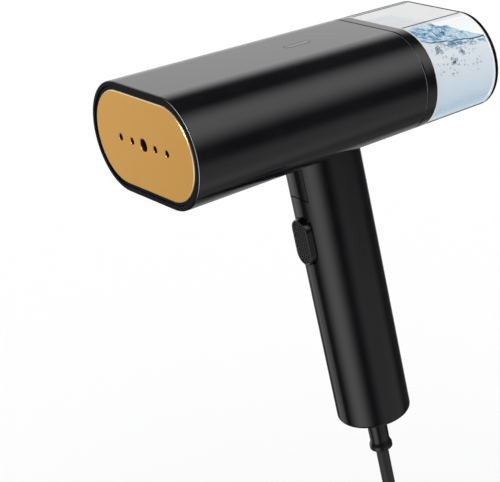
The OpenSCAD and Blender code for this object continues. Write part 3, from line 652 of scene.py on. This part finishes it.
MATERIALS = {
    "black_gloss": gloss_black("black_gloss", 0.085, 0.010, 0.035),
    "black_rim": gloss_black("black_rim", 0.22, 0.006, 0.05, 0.02),
    "black_satin": gloss_black("black_satin", 0.15, 0.008, 0.05),
    "grey_plastic": surface("grey_plastic", (0.06, 0.063, 0.068), 0.42, grain_depth=0.01,
                            edge=(0.12, 0.12, 0.13)),
    "gold_plate": gold_plate("gold_plate"),
    "cast_alloy": surface("cast_alloy", (0.55, 0.56, 0.57), 0.46, 1.0, 900, 0.04, 0.08, 120, 0.8,
                          edge=(0.75, 0.76, 0.77)),
    "steel": surface("steel", (0.62, 0.62, 0.63), 0.28, 1.0, 1800, 0.003, 0.06, 200, 0.88,
                     stretch=(1, 1, 0.2)),
    "plug_steel": surface("plug_steel", (0.66, 0.66, 0.67), 0.2, 1.0, 2600, 0.002, 0.05, 150, 0.9,
                          stretch=(1, 0.15, 1)),
    "brass": surface("brass", (0.78, 0.56, 0.22), 0.3, 1.0, 2000, 0.003, 0.06, 160, 0.85),
    "silicone": surface("silicone", (0.62, 0.60, 0.55), 0.5, 0, 1500, 0.006, 0.06, 90, 0.92,
                        subsurface=0.3),
    "rubber": surface("rubber", (0.014, 0.014, 0.015), 0.48, 0, 3200, 0.012, 0.08, 120, 0.75, sheen=0.05),
    "copper": surface("copper", (0.62, 0.27, 0.12), 0.34, 1.0, 1400, 0.01, 0.05, 140, 0.8,
                      stretch=(1, 8, 1)),
    "board": surface("board", (0.02, 0.14, 0.06), 0.4, 0, 1600, 0.01, 0.08, 300, 0.7),
    "led": surface("led", (0.85, 0.55, 0.18), 0.15, 0, 800, 0.004, 0.05, 300, 0.85,
                   coat=0.4, subsurface=0.4),
    "smoked": smoked("smoked"),
    "red": surface("red", (0.45, 0.03, 0.02), 0.4, 0, 2200, 0.008, 0.06, 120, 0.85),
    "clear_plastic": clear_plastic("clear_plastic"),
    "water": water_body("water"),
}


# ---------- head ----------

def head_profile(y0, y1, inset, radii):
    """Closed profile of a shell that follows the head's taper. radii: outside front and back,
    inside back and front."""
    front, back, inner_back, inner_front = radii
    points = [(y0, head_r(y0), front), (y1, head_r(y1), back),
              (y1, head_r(y1) - inset, inner_back), (y0, head_r(y0) - inset, inner_front)]
    return fillet(points)


def oblong_piece(name, profile, closed=True):
    return mesh_object(name, *sweep(profile, lambda r: stadium(side_x, r), closed))


def painted_edge_highlight(name):
    """The sleeve's two end edges with a painted highlight: bright where they face up and to the right, black
    elsewhere.
    """
    material, tree, output, place = new_material(name)
    sideways, along, upward = tree.split(tree.add("ShaderNodeNewGeometry").outputs["Normal"])
    facing = tree.plus(sideways, tree.times(upward, 0.35))
    uneven = tree.ramp(tree.noise(120, 3.0, 0.5, place), 0.3, 0.6, 0.7, 1.0)
    lit = tree.times(tree.ramp(facing, 0.30, 0.66, smooth=True), uneven)
    principled(tree, output, {
        "Base Color": tree.mix(lit, (0.004, 0.004, 0.005), (0.45, 0.46, 0.50)), "Roughness": 0.2})
    return material


def build_head_sleeve():
    """Sleeve with a pocket underneath for the folded trigger and a slot on top for the window."""
    rear_edge = 0.5 * MM
    corners = (rim_bevel, rear_edge, 0.2 * MM, 0.3 * MM)
    shell = oblong_piece("head_sleeve", head_profile(rim_y, head_hi.y, wall, corners))
    play, skin = 1.6 * MM, 1.6 * MM     # room round the trigger, and the pocket's own wall
    root = 0.8 * MM                     # the pocket's wall starts this deep in the sleeve
    depth = trigger_out + 0.3 * MM
    pocket_y = pivot.y + trigger_mid_z
    under = Matrix.Translation((0, pocket_y, -head_r(pocket_y))) @ Matrix.Rotation(lean, 4, "X")

    def trigger_shape(name, extra, low, high):
        outline = upright_stadium(trigger_w + 2 * extra, trigger_len + 2 * extra)
        return prism(name, outline, low, high, under)

    boss = trigger_shape("boss", play + skin, root, depth + skin)
    pocket = trigger_shape("pocket", play, -5 * MM, depth)
    slot = prism("slot", upright_stadium(lens_w + 0.1 * MM, lens_len + 0.1 * MM), 0, 2 * head_hi.z,
                 Matrix.Translation((0, lens_mid, 0)))
    boolean(shell, "UNION", boss)
    boolean(shell, "DIFFERENCE", pocket, slot)
    soften(shell, 0.12 * MM, 2)
    finish_piece(shell, "head",
                 [MATERIALS["black_gloss"], MATERIALS["black_rim"], painted_edge_highlight("painted_edge_highlight")],
                 ["head_shell"])
    # material 2 on the front and rear edge roundings is the painted highlight
    for face in shell.data.polygons:
        if face.center.y < rim_y + 0.1 * MM:
            face.material_index = 1
        elif face.center.y < rim_y + rim_bevel and 0.55 < -face.normal.y < 0.85:
            face.material_index = 2
        elif face.center.y > head_hi.y - rear_edge and 0.4 < face.normal.y < 0.93:
            face.material_index = 2


def build_bezel():
    """Recessed ring between the sleeve and the steam plate, with a shelf behind the plate."""
    front, back = bezel_lo.y, bezel_hi.y
    outer = head_r(front) - wall - 0.05 * MM
    inner = plate_hi.z + 0.25 * MM
    shelf_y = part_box("plate_gasket")[1].y + 0.05 * MM
    shelf_r = inner - 1.6 * MM
    profile = fillet([(front, inner, 0.35 * MM), (front, outer, 0.4 * MM),
                      (back, outer - 0.3 * MM, 0.2 * MM), (back, shelf_r, 0.2 * MM),
                      (shelf_y, shelf_r, 0.1 * MM), (shelf_y, inner, 0.1 * MM)])
    ring = oblong_piece("bezel_ring", profile)
    finish_piece(ring, "head", MATERIALS["black_rim"], ["front_bezel"])


def build_steam_plate():
    """Plate with a polished chamfer and a row of countersunk steam holes, the middle one larger."""
    r = plate_hi.z
    thick, bevel, sink = 3 * MM, 0.4 * MM, 0.3 * MM
    large_r, small_r, pitch = 2.95 * MM, 1.6 * MM, 10 * MM
    core = 4 * MM                       # the outline's sweep stops short of its own axis
    beyond = 1 * MM                     # the drill starts and ends this far outside the plate
    profile = fillet([(0, core, 0), (0, r - bevel, 0.12 * MM), (bevel, r, 0.12 * MM), (thick, r, 0.2 * MM),
                      (thick, core, 0)], closed=False)
    plate = oblong_piece("steam_plate_face", profile, closed=False)
    for i in range(-2, 3):
        hole_r = small_r if i else large_r
        drill_shape = [(-beyond, hole_r + sink + beyond), (sink, hole_r), (thick + beyond, hole_r)]
        verts, faces = sweep(drill_shape, lambda q: circle(q, 64), closed=False)
        drill = mesh_object("drill", verts, faces, Matrix.Translation((i * pitch, 0, 0)))
        boolean(plate, "DIFFERENCE", drill)
    soften(plate, 0.08 * MM, 2, 30)
    edge = surface("gold_edge", (0.93, 0.76, 0.52), 0.35, 0.5, 2400, 0.002, 0.05, 120, 0.9)
    # painted shade: the holes' inner walls are painted near-black, as shade deep in the steam holes
    bore = surface("steam_bore_shade", (0.03, 0.022, 0.015), 0.5, 0.3, 1500, 0.01, 0.05, 300, 0.7)
    finish_piece(plate, "head", [MATERIALS["gold_plate"], edge, bore], ["steam_plate"], 25)
    for face in plate.data.polygons:
        if abs(face.center.z) < core and abs(face.center.x) < 2.5 * pitch:
            face.material_index = 2 if abs(face.normal.y) < 0.3 else 0
        elif 0.3 < abs(face.normal.y) < 0.97 and face.center.y < beyond:
            face.material_index = 1


def build_window():
    """Flush smoked window on top of the head, with a slightly domed edge."""
    thick, gap, edge = 2.2 * MM, 0.08 * MM, 0.3 * MM
    half = lens_w / 2 - gap
    rings = []
    for along, radius in fillet([(-thick, half, 0), (0, half, edge), (0.02 * MM, edge, 0)], closed=False):
        grow = radius - lens_w / 2
        rings.append([(x, y, along) for x, y in upright_stadium(lens_w + 2 * grow, lens_len + 2 * grow)])
    place = Matrix.Translation((0, lens_mid, head_r(lens_mid))) @ Matrix.Rotation(-lean, 4, "X")
    window = mesh_object("indicator_window", *loft(rings), place)
    finish_piece(window, "head", MATERIALS["smoked"], ["indicator_lens"])


# ---------- tank ----------

def build_collar():
    """Black cap of the tank: collar, spigot with its seal groove, inner tongue and three bores."""
    spigot = head_r(head_hi.y) - wall - 0.35 * MM
    spigot_in = spigot - 2 * MM
    tongue = head_r(lid_hi.y) - tank_wall - 0.1 * MM
    tongue_in = tongue - 1.6 * MM
    floor = collar_y + 2.5 * MM
    seam_y = glass_y - 0.05 * MM
    edge, centre = 0.5 * MM, 4 * MM
    seal_lo, seal_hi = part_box("tank_seal")
    start, end = seal_lo.y - 0.1 * MM, seal_hi.y + 0.1 * MM
    groove = spigot - 0.8 * MM
    points = [(floor, centre, 0), (floor, tongue_in, 0.2 * MM), (lid_hi.y, tongue_in, 0.2 * MM),
              (lid_hi.y, tongue, 0.2 * MM), (seam_y, tongue, 0.05 * MM), (seam_y, head_r(glass_y), edge),
              (collar_y, head_r(collar_y), edge), (collar_y, spigot, 0.1 * MM), (end, spigot, 0.1 * MM),
              (end, groove, 0.1 * MM), (start, groove, 0.1 * MM), (start, spigot, 0.1 * MM),
              (lid_lo.y, spigot, 0.3 * MM), (lid_lo.y, spigot_in, 0.2 * MM),
              (collar_y, spigot_in, 0.2 * MM), (collar_y, centre, 0)]
    cap = oblong_piece("tank_cap", fillet(points, closed=False, steps=4), closed=False)
    bores = {"filler_plug": 8.05 * MM, "vent_valve": 2.05 * MM, "dock_seal": 6.05 * MM}
    for node, r in bores.items():
        low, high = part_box(node)
        mouth = Matrix.Translation(((low.x + high.x) / 2, collar_y - 1 * MM, (low.z + high.z) / 2))
        boolean(cap, "DIFFERENCE", prism("bore", circle(r, 64), 0, 5 * MM, mouth @ ALONG_Y))
    finish_piece(cap, "tank", MATERIALS["black_gloss"], ["tank_lid"])


def build_tank_shell():
    """Clear cup; the faces of its rounded rear corner take the rim's painted dark reflections."""
    corner, edge, centre = 1.2 * MM, 0.15 * MM, 3 * MM
    floor = tank_end - end_wall
    points = [(tank_end, centre, 0), (tank_end, head_r(tank_end), corner),
              (rim_start, head_r(rim_start), 0), (glass_y, head_r(glass_y), edge),
              (glass_y, head_r(glass_y) - tank_wall, edge),
              (floor, head_r(floor) - tank_wall, 0.8 * MM), (floor, centre, 0)]
    shell = oblong_piece("tank_cup", fillet(points, closed=False, steps=6), closed=False)
    finish_piece(shell, "tank",
                 [MATERIALS["clear_plastic"], clear_rim("clear_rim")], ["tank_shell"], 50)
    for face in shell.data.polygons:
        x, y, z = face.center
        out = max(abs(z), math.hypot(max(abs(x) - side_x, 0), z))
        if y > rim_start and out > head_r(tank_end) - corner:
            face.material_index = 1


def crest(x, y, height, middle, spread):
    """A rounded crest; its middle and spread are (across, behind the collar)."""
    across = (x - middle[0]) / spread[0]
    along = (y - glass_y - middle[1]) / spread[1]
    return height * math.exp(-across ** 2 - along ** 2)


def wave(x, y):
    """Height of the water's surface: a swell along the wall, two crests, and ripples."""
    crests = (crest(x, y, 3.4 * MM, (4 * MM, 18 * MM), (17 * MM, 8 * MM))
              + crest(x, y, 2.2 * MM, (-20 * MM, 8 * MM), (12 * MM, 7 * MM)))
    ripple = 0.0
    # radians per mm across and along, height in mm, phase
    for across, along, size, phase in ((0.42, 0.25, 0.42, 0.3), (-0.31, 0.55, 0.34, 1.7),
                                       (0.85, -0.5, 0.2, 2.6), (0.2, 1.1, 0.22, 4.0),
                                       (-1.1, 0.9, 0.13, 5.1), (1.7, 1.3, 0.09, 0.9)):
        ripple += size * MM * math.sin((across * x + along * y) / MM + phase)
    calm = min(1.0, max(0.0, (side_x + 14 * MM - abs(x)) / (12 * MM)))
    return swell_level(y) + crests + ripple * (0.25 + 0.75 * calm)


WATER_ROWS = 72                     # steps along the tank
WATER_SIDE = 96                     # and round the water's outline
WATER_BOTTOM = 10
WATER_TOP = 150


def water_ring(y):
    """Outline of the water at y: down its right side, along the bottom, up its left side, over the top."""
    r = head_r(y) - tank_wall - WATER_GAP
    limit = r - 0.25 * MM
    near_z = min(limit, wave(side_x + r * 0.6, y))
    far_z = min(limit, wave(-side_x - r * 0.6, y))
    right = side_x + math.sqrt(r * r - near_z * near_z)
    left = -side_x - math.sqrt(r * r - far_z * far_z)
    near_angle, far_angle, bottom = math.asin(near_z / r), math.asin(far_z / r), -math.pi / 2
    ring = []
    for k in range(WATER_SIDE):
        angle = near_angle + (bottom - near_angle) * k / WATER_SIDE
        ring.append((side_x + r * math.cos(angle), y, r * math.sin(angle)))
    for k in range(WATER_BOTTOM):
        ring.append((side_x - 2 * side_x * k / WATER_BOTTOM, y, -r))
    for k in range(WATER_SIDE):
        angle = bottom + (far_angle - bottom) * k / WATER_SIDE
        ring.append((-side_x - r * math.cos(angle), y, r * math.sin(angle)))
    for k in range(WATER_TOP):
        t = k / WATER_TOP
        x = left + (right - left) * t
        near, far = t ** 8, (1 - t) ** 8
        z = wave(x, y) * (1 - near - far) + near_z * near + far_z * far
        ring.append((x, y, min(z, limit)))
    return ring


def build_water():
    """Water with a wavy surface, clipped to the inside of the cup."""
    start, end = lid_hi.y + 0.3 * MM, tank_end - end_wall - WATER_GAP
    rings = [water_ring(start + (end - start) * i / WATER_ROWS) for i in range(WATER_ROWS + 1)]
    body = mesh_object("water_body", *loft(rings))
    materials = [MATERIALS["water"], water_top("water_top"), water_line("water_line")]
    finish_piece(body, "tank", materials, ["water"], 60)
    n = len(rings[0])
    top_start = n - WATER_TOP
    for face in body.data.polygons[:WATER_ROWS * n]:
        k = face.index % n
        if k in (0, n - 1, top_start - 1, top_start):
            face.material_index = 2
        elif k > top_start:
            face.material_index = 1


def build_bubbles():
    """Air bubbles that cling to the inside of the wall: three loose groups, and small ones between."""
    rng = random.Random(7)
    clusters = [(12.5, 8.0, 1.5), (19.5, 4.0, 1.2), (7.0, 3.6, 1.0)]     # mm back, down, spread
    bm = bmesh.new()
    for side in (1, -1):
        for i in range(105):
            behind = 4 + 25 * rng.random() ** 1.3
            drop = 1.0 + 14 * rng.random() ** 1.6
            size = rng.uniform(0.16, 0.36) * MM
            if i < 24:
                middle, down, spread = clusters[i % 3]
                behind = middle + rng.gauss(0, spread * 0.8)
                drop = max(0.6, down + rng.gauss(0, spread))
                size = rng.uniform(0.35, 0.95) * MM
            y = glass_y + behind * MM
            flat = min(size, 0.15 * MM)
            reach = head_r(y) - tank_wall - flat - 0.02 * MM
            z = min(swell_level(y) - drop * MM, reach * 0.98)
            angle = math.asin(z / reach)
            long, tall = size * rng.uniform(0.85, 1.2), size * rng.uniform(0.8, 1.1)
            spot = (Matrix.Translation((side * (side_x + reach * math.cos(angle)), y, z))
                    @ Matrix.Rotation(-side * angle, 4, "Y") @ Matrix.Diagonal((flat, long, tall, 1)))
            bmesh.ops.create_icosphere(bm, subdivisions=2, radius=1, matrix=spot)
    finish_piece(bmesh_object("air_bubbles", bm), "tank", bubble("air_bubble"))


# ---------- handle ----------

def turned(name, profile, steps):
    """A turned piece about the handle's axis: profile of (distance below the pivot, radius)."""
    return mesh_object(name, *sweep(profile, lambda r: circle(r, steps)), on_axis @ ALONG_Y)


SEAM = 0.38 * MM                    # gap round the knuckle and the trigger
CUT_GAP = 0.35 * MM                 # between the grip's top and the head
WIDE = 60 * MM                      # cutters reach this far, well past the handle
trigger_place = handle_frame @ Matrix.Translation((0, 0, trigger_mid_z)) @ OUT_OF_FRONT
under_drop = (-pivot.z - head_r(pivot.y)) * math.cos(lean)      # from the pin up to the head


def side_prism(name, outline, half_width):
    """A prism along x over an outline of (y, z) points in the handle's frame."""
    turn = Matrix(((0, 0, 1, 0), (1, 0, 0, 0), (0, 1, 0, 0), (0, 0, 0, 1)))
    return prism(name, outline, -half_width, half_width, handle_frame @ turn)


def top_cut(gap, corner_r):
    """What the handle loses at its top: the head's underside, and the swing corner in front of the pin."""
    far = 80 * MM
    angle = tilt - lean
    rise = under_drop - gap

    def on_cut(reach):
        return (math.sin(angle) * rise + math.cos(angle) * reach,
                math.cos(angle) * rise - math.sin(angle) * reach)

    if corner_r:
        points = [(-far, 0)]
        for k in range(33):
            turn = math.pi - (math.pi / 2 + angle) * k / 32
            points.append((corner_r * math.cos(turn), corner_r * math.sin(turn)))
    else:
        points = [on_cut(-far)]
    return points + [on_cut(far), (far, far), (-far, far)]


def build_handle_tube():
    """Round grip, cut to the head's underside, with space for the knuckle and a slot for the trigger."""
    top, bottom, inside = -20 * MM, -bottom_z, handle_r - 2.4 * MM
    profile = fillet([(top, handle_r, 0), (bottom, handle_r, 2 * MM), (bottom, inside, 0.3 * MM),
                      (top, inside, 0)], steps=8)
    tube = turned("handle_grip", profile, 160)
    half = knuckle_half + SEAM
    knuckle_space = prism("space", circle(knuckle_r + SEAM, 160), -half, half, handle_frame @ ALONG_X)
    slot = prism("slot", upright_stadium(trigger_w + 2 * SEAM, trigger_len + 2 * SEAM), 0, WIDE,
                 trigger_place)
    cut = side_prism("cut", top_cut(CUT_GAP, under_drop - CUT_GAP), WIDE)
    boolean(tube, "DIFFERENCE", cut, knuckle_space, slot)
    soften(tube, 0.12 * MM, 2)
    finish_piece(tube, "handle", MATERIALS["black_gloss"], ["handle_tube"])


def build_knuckle():
    """Fixed half of the hinge; its front and back are flush with the grip."""
    across = handle_frame @ ALONG_X
    knuckle = prism("hinge_block", circle(knuckle_r, 160), -knuckle_half, knuckle_half, across)
    boolean(knuckle, "INTERSECT", prism("bar", circle(handle_r, 160), -WIDE, WIDE, on_axis))
    pin_hole = prism("pin_hole", circle(3.05 * MM, 64), -WIDE, WIDE, across)
    boolean(knuckle, "DIFFERENCE", side_prism("cut", top_cut(0, 0), WIDE), pin_hole)
    soften(knuckle, 0.12 * MM, 2)
    finish_piece(knuckle, "head", MATERIALS["black_gloss"], ["hinge_knuckle"])


def build_trigger_dots(level, inset):
    """Fine raised dots on the trigger's face, in staggered rows that keep clear of its lip."""
    pitch, dot_r, dot_h = 1.65 * MM, 0.50 * MM, 0.30 * MM
    row_pitch = pitch * 0.866           # rows of touching triangles
    half_w, reach = trigger_w / 2 - inset, (trigger_len - trigger_w) / 2
    rows, columns = int(trigger_len / row_pitch / 2) + 1, int(trigger_w / pitch)
    bm = bmesh.new()
    for j in range(-rows, rows + 1):
        for i in range(-columns, columns + 1):
            x = (i + 0.5 * (j % 2)) * pitch
            y = j * row_pitch
            if math.hypot(x, max(abs(y) - reach, 0)) > half_w:
                continue
            dome = (trigger_place @ Matrix.Translation((x, y, level))
                    @ Matrix.Diagonal((dot_r, dot_r, dot_h, 1)))
            bmesh.ops.create_uvsphere(bm, u_segments=10, v_segments=6, radius=1, matrix=dome)
    paint = surface("trigger_dot", (0.045, 0.045, 0.047), 0.35, 0, 2400, 0.01, 0.06, 400, 0.6)
    finish_piece(bmesh_object("trigger_dots", bm), "trigger", paint)


def build_trigger():
    """Oval button with polished sides, a raised lip and a sunk, finely grained face."""
    root, front = 6.6 * MM, -trigger_lo.y
    lip, sink = 0.9 * MM, 0.25 * MM
    level = front - sink
    profile = fillet([(root, 0, 0), (front, 0, 0.55 * MM), (front, lip, 0.15 * MM),
                      (level, lip + 0.3 * MM, 0.1 * MM)], closed=False, steps=6)
    rings = []
    for along, inset in profile:
        outline = upright_stadium(trigger_w - 2 * inset, trigger_len - 2 * inset, 40)
        rings.append([(x, y, along) for x, y in outline])
    button = mesh_object("trigger_button", *loft(rings), trigger_place)
    grain = surface("trigger_face", (0.003, 0.003, 0.0033), 0.4, 0, 1900, 0.03, 0.08, 260, 0.7,
                    specular=0.1)
    finish_piece(button, "trigger", [MATERIALS["black_gloss"], grain], ["trigger"])
    button.data.polygons[-1].material_index = 1
    build_trigger_dots(level, lip + 0.75 * MM)


def build_boot():
    """Strain relief: a groove that holds it in the grip's end, a tapered body and a soft lip."""
    end, tip = -bottom_z, -boot_lo.z    # the grip's end and the boot's own, below the pivot
    flange = 1.6 * MM
    r = boot_hi.x - flange
    neck, lip = r - 0.5 * MM, r + 0.7 * MM
    hole = CORD_R + 0.05 * MM
    top, flange_top, flange_end = end - 6 * MM, end - 3.1 * MM, end - 0.9 * MM
    profile = fillet([(top, neck, 0.2 * MM), (flange_top, neck, 0.1 * MM),
                      (flange_top, r + flange, 0.2 * MM), (flange_end, r + flange, 0.2 * MM),
                      (flange_end, r, 0.3 * MM),
                      (tip - 4.6 * MM, r * 0.97, 1.5 * MM), (tip - 2.4 * MM, lip, 0.9 * MM),
                      (tip, lip, 0.6 * MM), (tip, hole, 0.3 * MM), (top, hole, 0.2 * MM)], steps=6)
    boot = turned("cord_relief", profile, 96)
    finish_piece(boot, "handle", MATERIALS["black_satin"], ["cord_boot"])


def build_cord():
    """Round cord: hangs from the boot and bends level to the plug."""
    top, low = bottom_z + 16 * MM, boot_lo.z - CORD_HANG
    straight_steps, bend_steps, round_steps = 24, 40, 40
    path = [Vector((0, axis_y, top + (low - top) * k / straight_steps)) for k in range(straight_steps + 1)]
    centre = Vector((0, axis_y + CORD_BEND, low))
    turn = math.radians(90) - tilt
    for k in range(1, bend_steps + 1):
        angle = turn * k / bend_steps
        path.append(centre + Vector((0, -math.cos(angle), -math.sin(angle))) * CORD_BEND)
    path = [handle_frame @ p for p in path]
    path.append(path[-1] + Vector((0, 12 * MM, 0)))
    rings = []
    for i, point in enumerate(path):
        ahead = path[min(i + 1, len(path) - 1)] - path[max(i - 1, 0)]
        up = ahead.normalized().cross(Vector((1, 0, 0)))
        rings.append([point + Vector((x, 0, 0)) + up * y for x, y in circle(CORD_R, round_steps)])
    cord = mesh_object("mains_cord", *loft(rings))
    finish_piece(cord, "handle", MATERIALS["rubber"], ["cord"])


def build_plug():
    """Plug body with a stepped relief, finger flats and two round pins."""
    lo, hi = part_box("plug_body")
    head_radius = hi.x
    flat = (hi.z - lo.z) / 2 / head_radius      # the round head is cut to this share of its radius
    base = Matrix.Translation((0, lo.y + 1.5 * MM, (lo.z + hi.z) / 2))
    neck_end, head_start, head_end, pin_end = 14 * MM, 20 * MM, 42 * MM, 61 * MM
    relief = fillet([(-1.5 * MM, 3.6 * MM, 0), (-1.5 * MM, 5 * MM, 0.7 * MM), (neck_end, 5 * MM, 0.8 * MM),
                     (neck_end, 7.5 * MM, 0.8 * MM), (head_start, 7.5 * MM, 0.5 * MM),
                     (head_start + 0.6 * MM, 3.6 * MM, 0)], steps=5)
    neck = mesh_object("plug_neck", *sweep(relief, lambda r: circle(r, 96)), base)

    def flattened(r):
        return [(x, max(-flat * r, min(flat * r, z))) for x, z in circle(r, 192)]

    shape = fillet([(head_start, 3 * MM, 0), (head_start, head_radius, 3.2 * MM),
                    (head_end, head_radius, 1.0 * MM), (head_end, 3 * MM, 0)], closed=False, steps=8)
    body = mesh_object("plug_shell", *sweep(shape, flattened, closed=False), base)
    boolean(body, "UNION", neck)
    finish_piece(body, "handle", MATERIALS["black_satin"], ["plug_body"])
    pin = fillet([(30 * MM, 2 * MM, 0), (head_end, 2 * MM, 0), (head_end, 2.4 * MM, 0),
                  (pin_end, 2.4 * MM, 1.6 * MM), (pin_end, 0.3 * MM, 0)], closed=False, steps=6)
    for number, x in ((1, -9.5 * MM), (2, 9.5 * MM)):
        verts, faces = sweep(pin, lambda r: circle(r, 48), closed=False)
        post = mesh_object(f"plug_pin_{number}", verts, faces, base @ Matrix.Translation((x, 0, 0)))
        finish_piece(post, "handle", MATERIALS["plug_steel"], ["plug_pins"])


# ---------- carried-over CAD nodes ----------

def dress_cad_nodes():
    """Every CAD node takes the procedural material of its slot."""
    for part in frame["record"]["subparts"]:
        materials = frame["nodes"][part["node"]].data.materials
        materials.clear()
        materials.append(MATERIALS[part["material_slot"]])


# ---------- stage ----------

def panel(tree, angles, azimuth, height, half_width, half_height, strength):
    """A soft studio panel in the surroundings, seen only in reflections. Angles in degrees;
    each half-size is a pair: full brightness inside the first, dark outside the second."""
    swing, lift = angles
    offset = tree.math("SUBTRACT", swing, math.radians(azimuth))
    wrapped = tree.math("ABSOLUTE", tree.math("WRAP", offset, math.pi, -math.pi))
    across = tree.ramp(wrapped, math.radians(half_width[1]), math.radians(half_width[0]), smooth=True)
    distance = tree.math("ABSOLUTE", tree.math("SUBTRACT", lift, math.radians(height)))
    upright = tree.ramp(distance, math.radians(half_height[1]), math.radians(half_height[0]), smooth=True)
    return tree.times(tree.times(across, upright), strength)


def build_world():
    """White surroundings for the eye, even light for matt surfaces and soft panels for gloss."""
    world = bpy.data.worlds.new("studio")
    bpy.context.scene.world = world
    world.use_nodes = True
    world.node_tree.nodes.clear()
    tree = Tree(world.node_tree)
    output = tree.add("ShaderNodeOutputWorld")
    direction = tree.add("ShaderNodeTexCoord").outputs["Generated"]
    x, y, z = tree.split(direction)
    angles = (tree.math("ARCTAN2", x, tree.times(y, -1.0)), tree.math("ARCSINE", z))
    panels = [
        panel(tree, angles, 127, 42, (10, 62), (4, 40), 2.05),     # key, high on the right
        panel(tree, angles, 118, -50, (24, 56), (20, 42), 0.50),   # low fill on the right
        panel(tree, angles, 185, -68, (30, 70), (8, 30), 0.20),    # and underneath
        panel(tree, angles, -128, -38, (14, 30), (5, 16), 0.45),   # low light behind
        panel(tree, angles, -66, -10, (12, 24), (22, 40), 0.60),   # low light on the left
        panel(tree, angles, -102, 8, (38, 50), (16, 38), 0.95),    # wall on the left
        panel(tree, angles, -112, 18, (30, 46), (8, 28), 0.30),    # its brighter upper part
        panel(tree, angles, 12, -28, (2, 48), (16, 30), 1.75),     # strip in front
        panel(tree, angles, 14, 30, (4, 16), (4, 16), 16.0),       # small bright lamp high in front
    ]
    total = 0.06
    for one in panels:
        total = tree.plus(total, one)
    path = tree.add("ShaderNodeLightPath")
    gloss = tree.add("ShaderNodeBackground", {"Strength": total})
    even = tree.add("ShaderNodeBackground", {"Strength": 1.34})
    pick = tree.add("ShaderNodeMixShader")
    tree.put(pick.inputs[0], path.outputs["Is Glossy Ray"])
    tree.put(pick.inputs[1], even.outputs[0])
    tree.put(pick.inputs[2], gloss.outputs[0])
    tree.put(output.inputs["Surface"], pick.outputs[0])


def build_floor():
    """Plain pale floor under the plug. It isn't seen in reflections, so that the panels are."""
    low = cad_box[0].z - 0.5 * MM
    size, cells = 6.0, 12
    ticks = [size * (2 * i / cells - 1) for i in range(cells + 1)]
    rows = [[(x, y, low) for x in ticks] for y in ticks]
    verts = [corner for row in rows for corner in row]
    starts = [j * (cells + 1) + i for j in range(cells) for i in range(cells)]
    floor = mesh_object("floor", verts, [(k, k + 1, k + cells + 2, k + cells + 1) for k in starts])
    material, tree, output, place = new_material("floor_paper")
    paper = tree.noise(700, 3.0, 0.6, place)
    shade = tree.vary(paper, (0.925, 0.925, 0.928), (0.94, 0.94, 0.942))
    shader = tree.add("ShaderNodeBsdfDiffuse", {"Color": shade})
    tree.put(output.inputs["Surface"], shader.outputs[0])
    floor.data.materials.append(material)
    floor.visible_glossy = False


def build_camera():
    """The camera looks down on the head from the front right, slightly rolled."""
    azimuth, elevation, roll = (math.radians(a) for a in (58.8, 20.85, -7.53))
    distance = 813.95 * MM
    aim = Vector((0, 47.87 * MM, -60.5 * MM))
    back = Vector((math.sin(azimuth) * math.cos(elevation), -math.cos(azimuth) * math.cos(elevation),
                   math.sin(elevation)))
    data = bpy.data.cameras.new("camera")
    data.sensor_width = 36
    data.lens = 126.07
    data.clip_start, data.clip_end = 0.01, 50
    camera = bpy.data.objects.new("camera", data)
    bpy.context.scene.collection.objects.link(camera)
    camera.rotation_mode = "QUATERNION"
    camera.location = aim + back * distance
    facing_aim = (-back).to_track_quat("-Z", "Y").to_matrix()
    camera.rotation_quaternion = (facing_aim @ Matrix.Rotation(roll, 3, "Z")).to_quaternion()
    bpy.context.scene.camera = camera


dress_cad_nodes()
build_head_sleeve()
build_bezel()
build_steam_plate()
build_window()
build_collar()
build_tank_shell()
build_water()
build_bubbles()
build_handle_tube()
build_knuckle()
build_trigger()
build_boot()
build_cord()
build_plug()
build_world()
build_floor()
build_camera()

scene = bpy.context.scene
scene.view_settings.view_transform = "Standard"
scene.cycles.transparent_max_bounces = 48
scene.cycles.max_bounces = 8
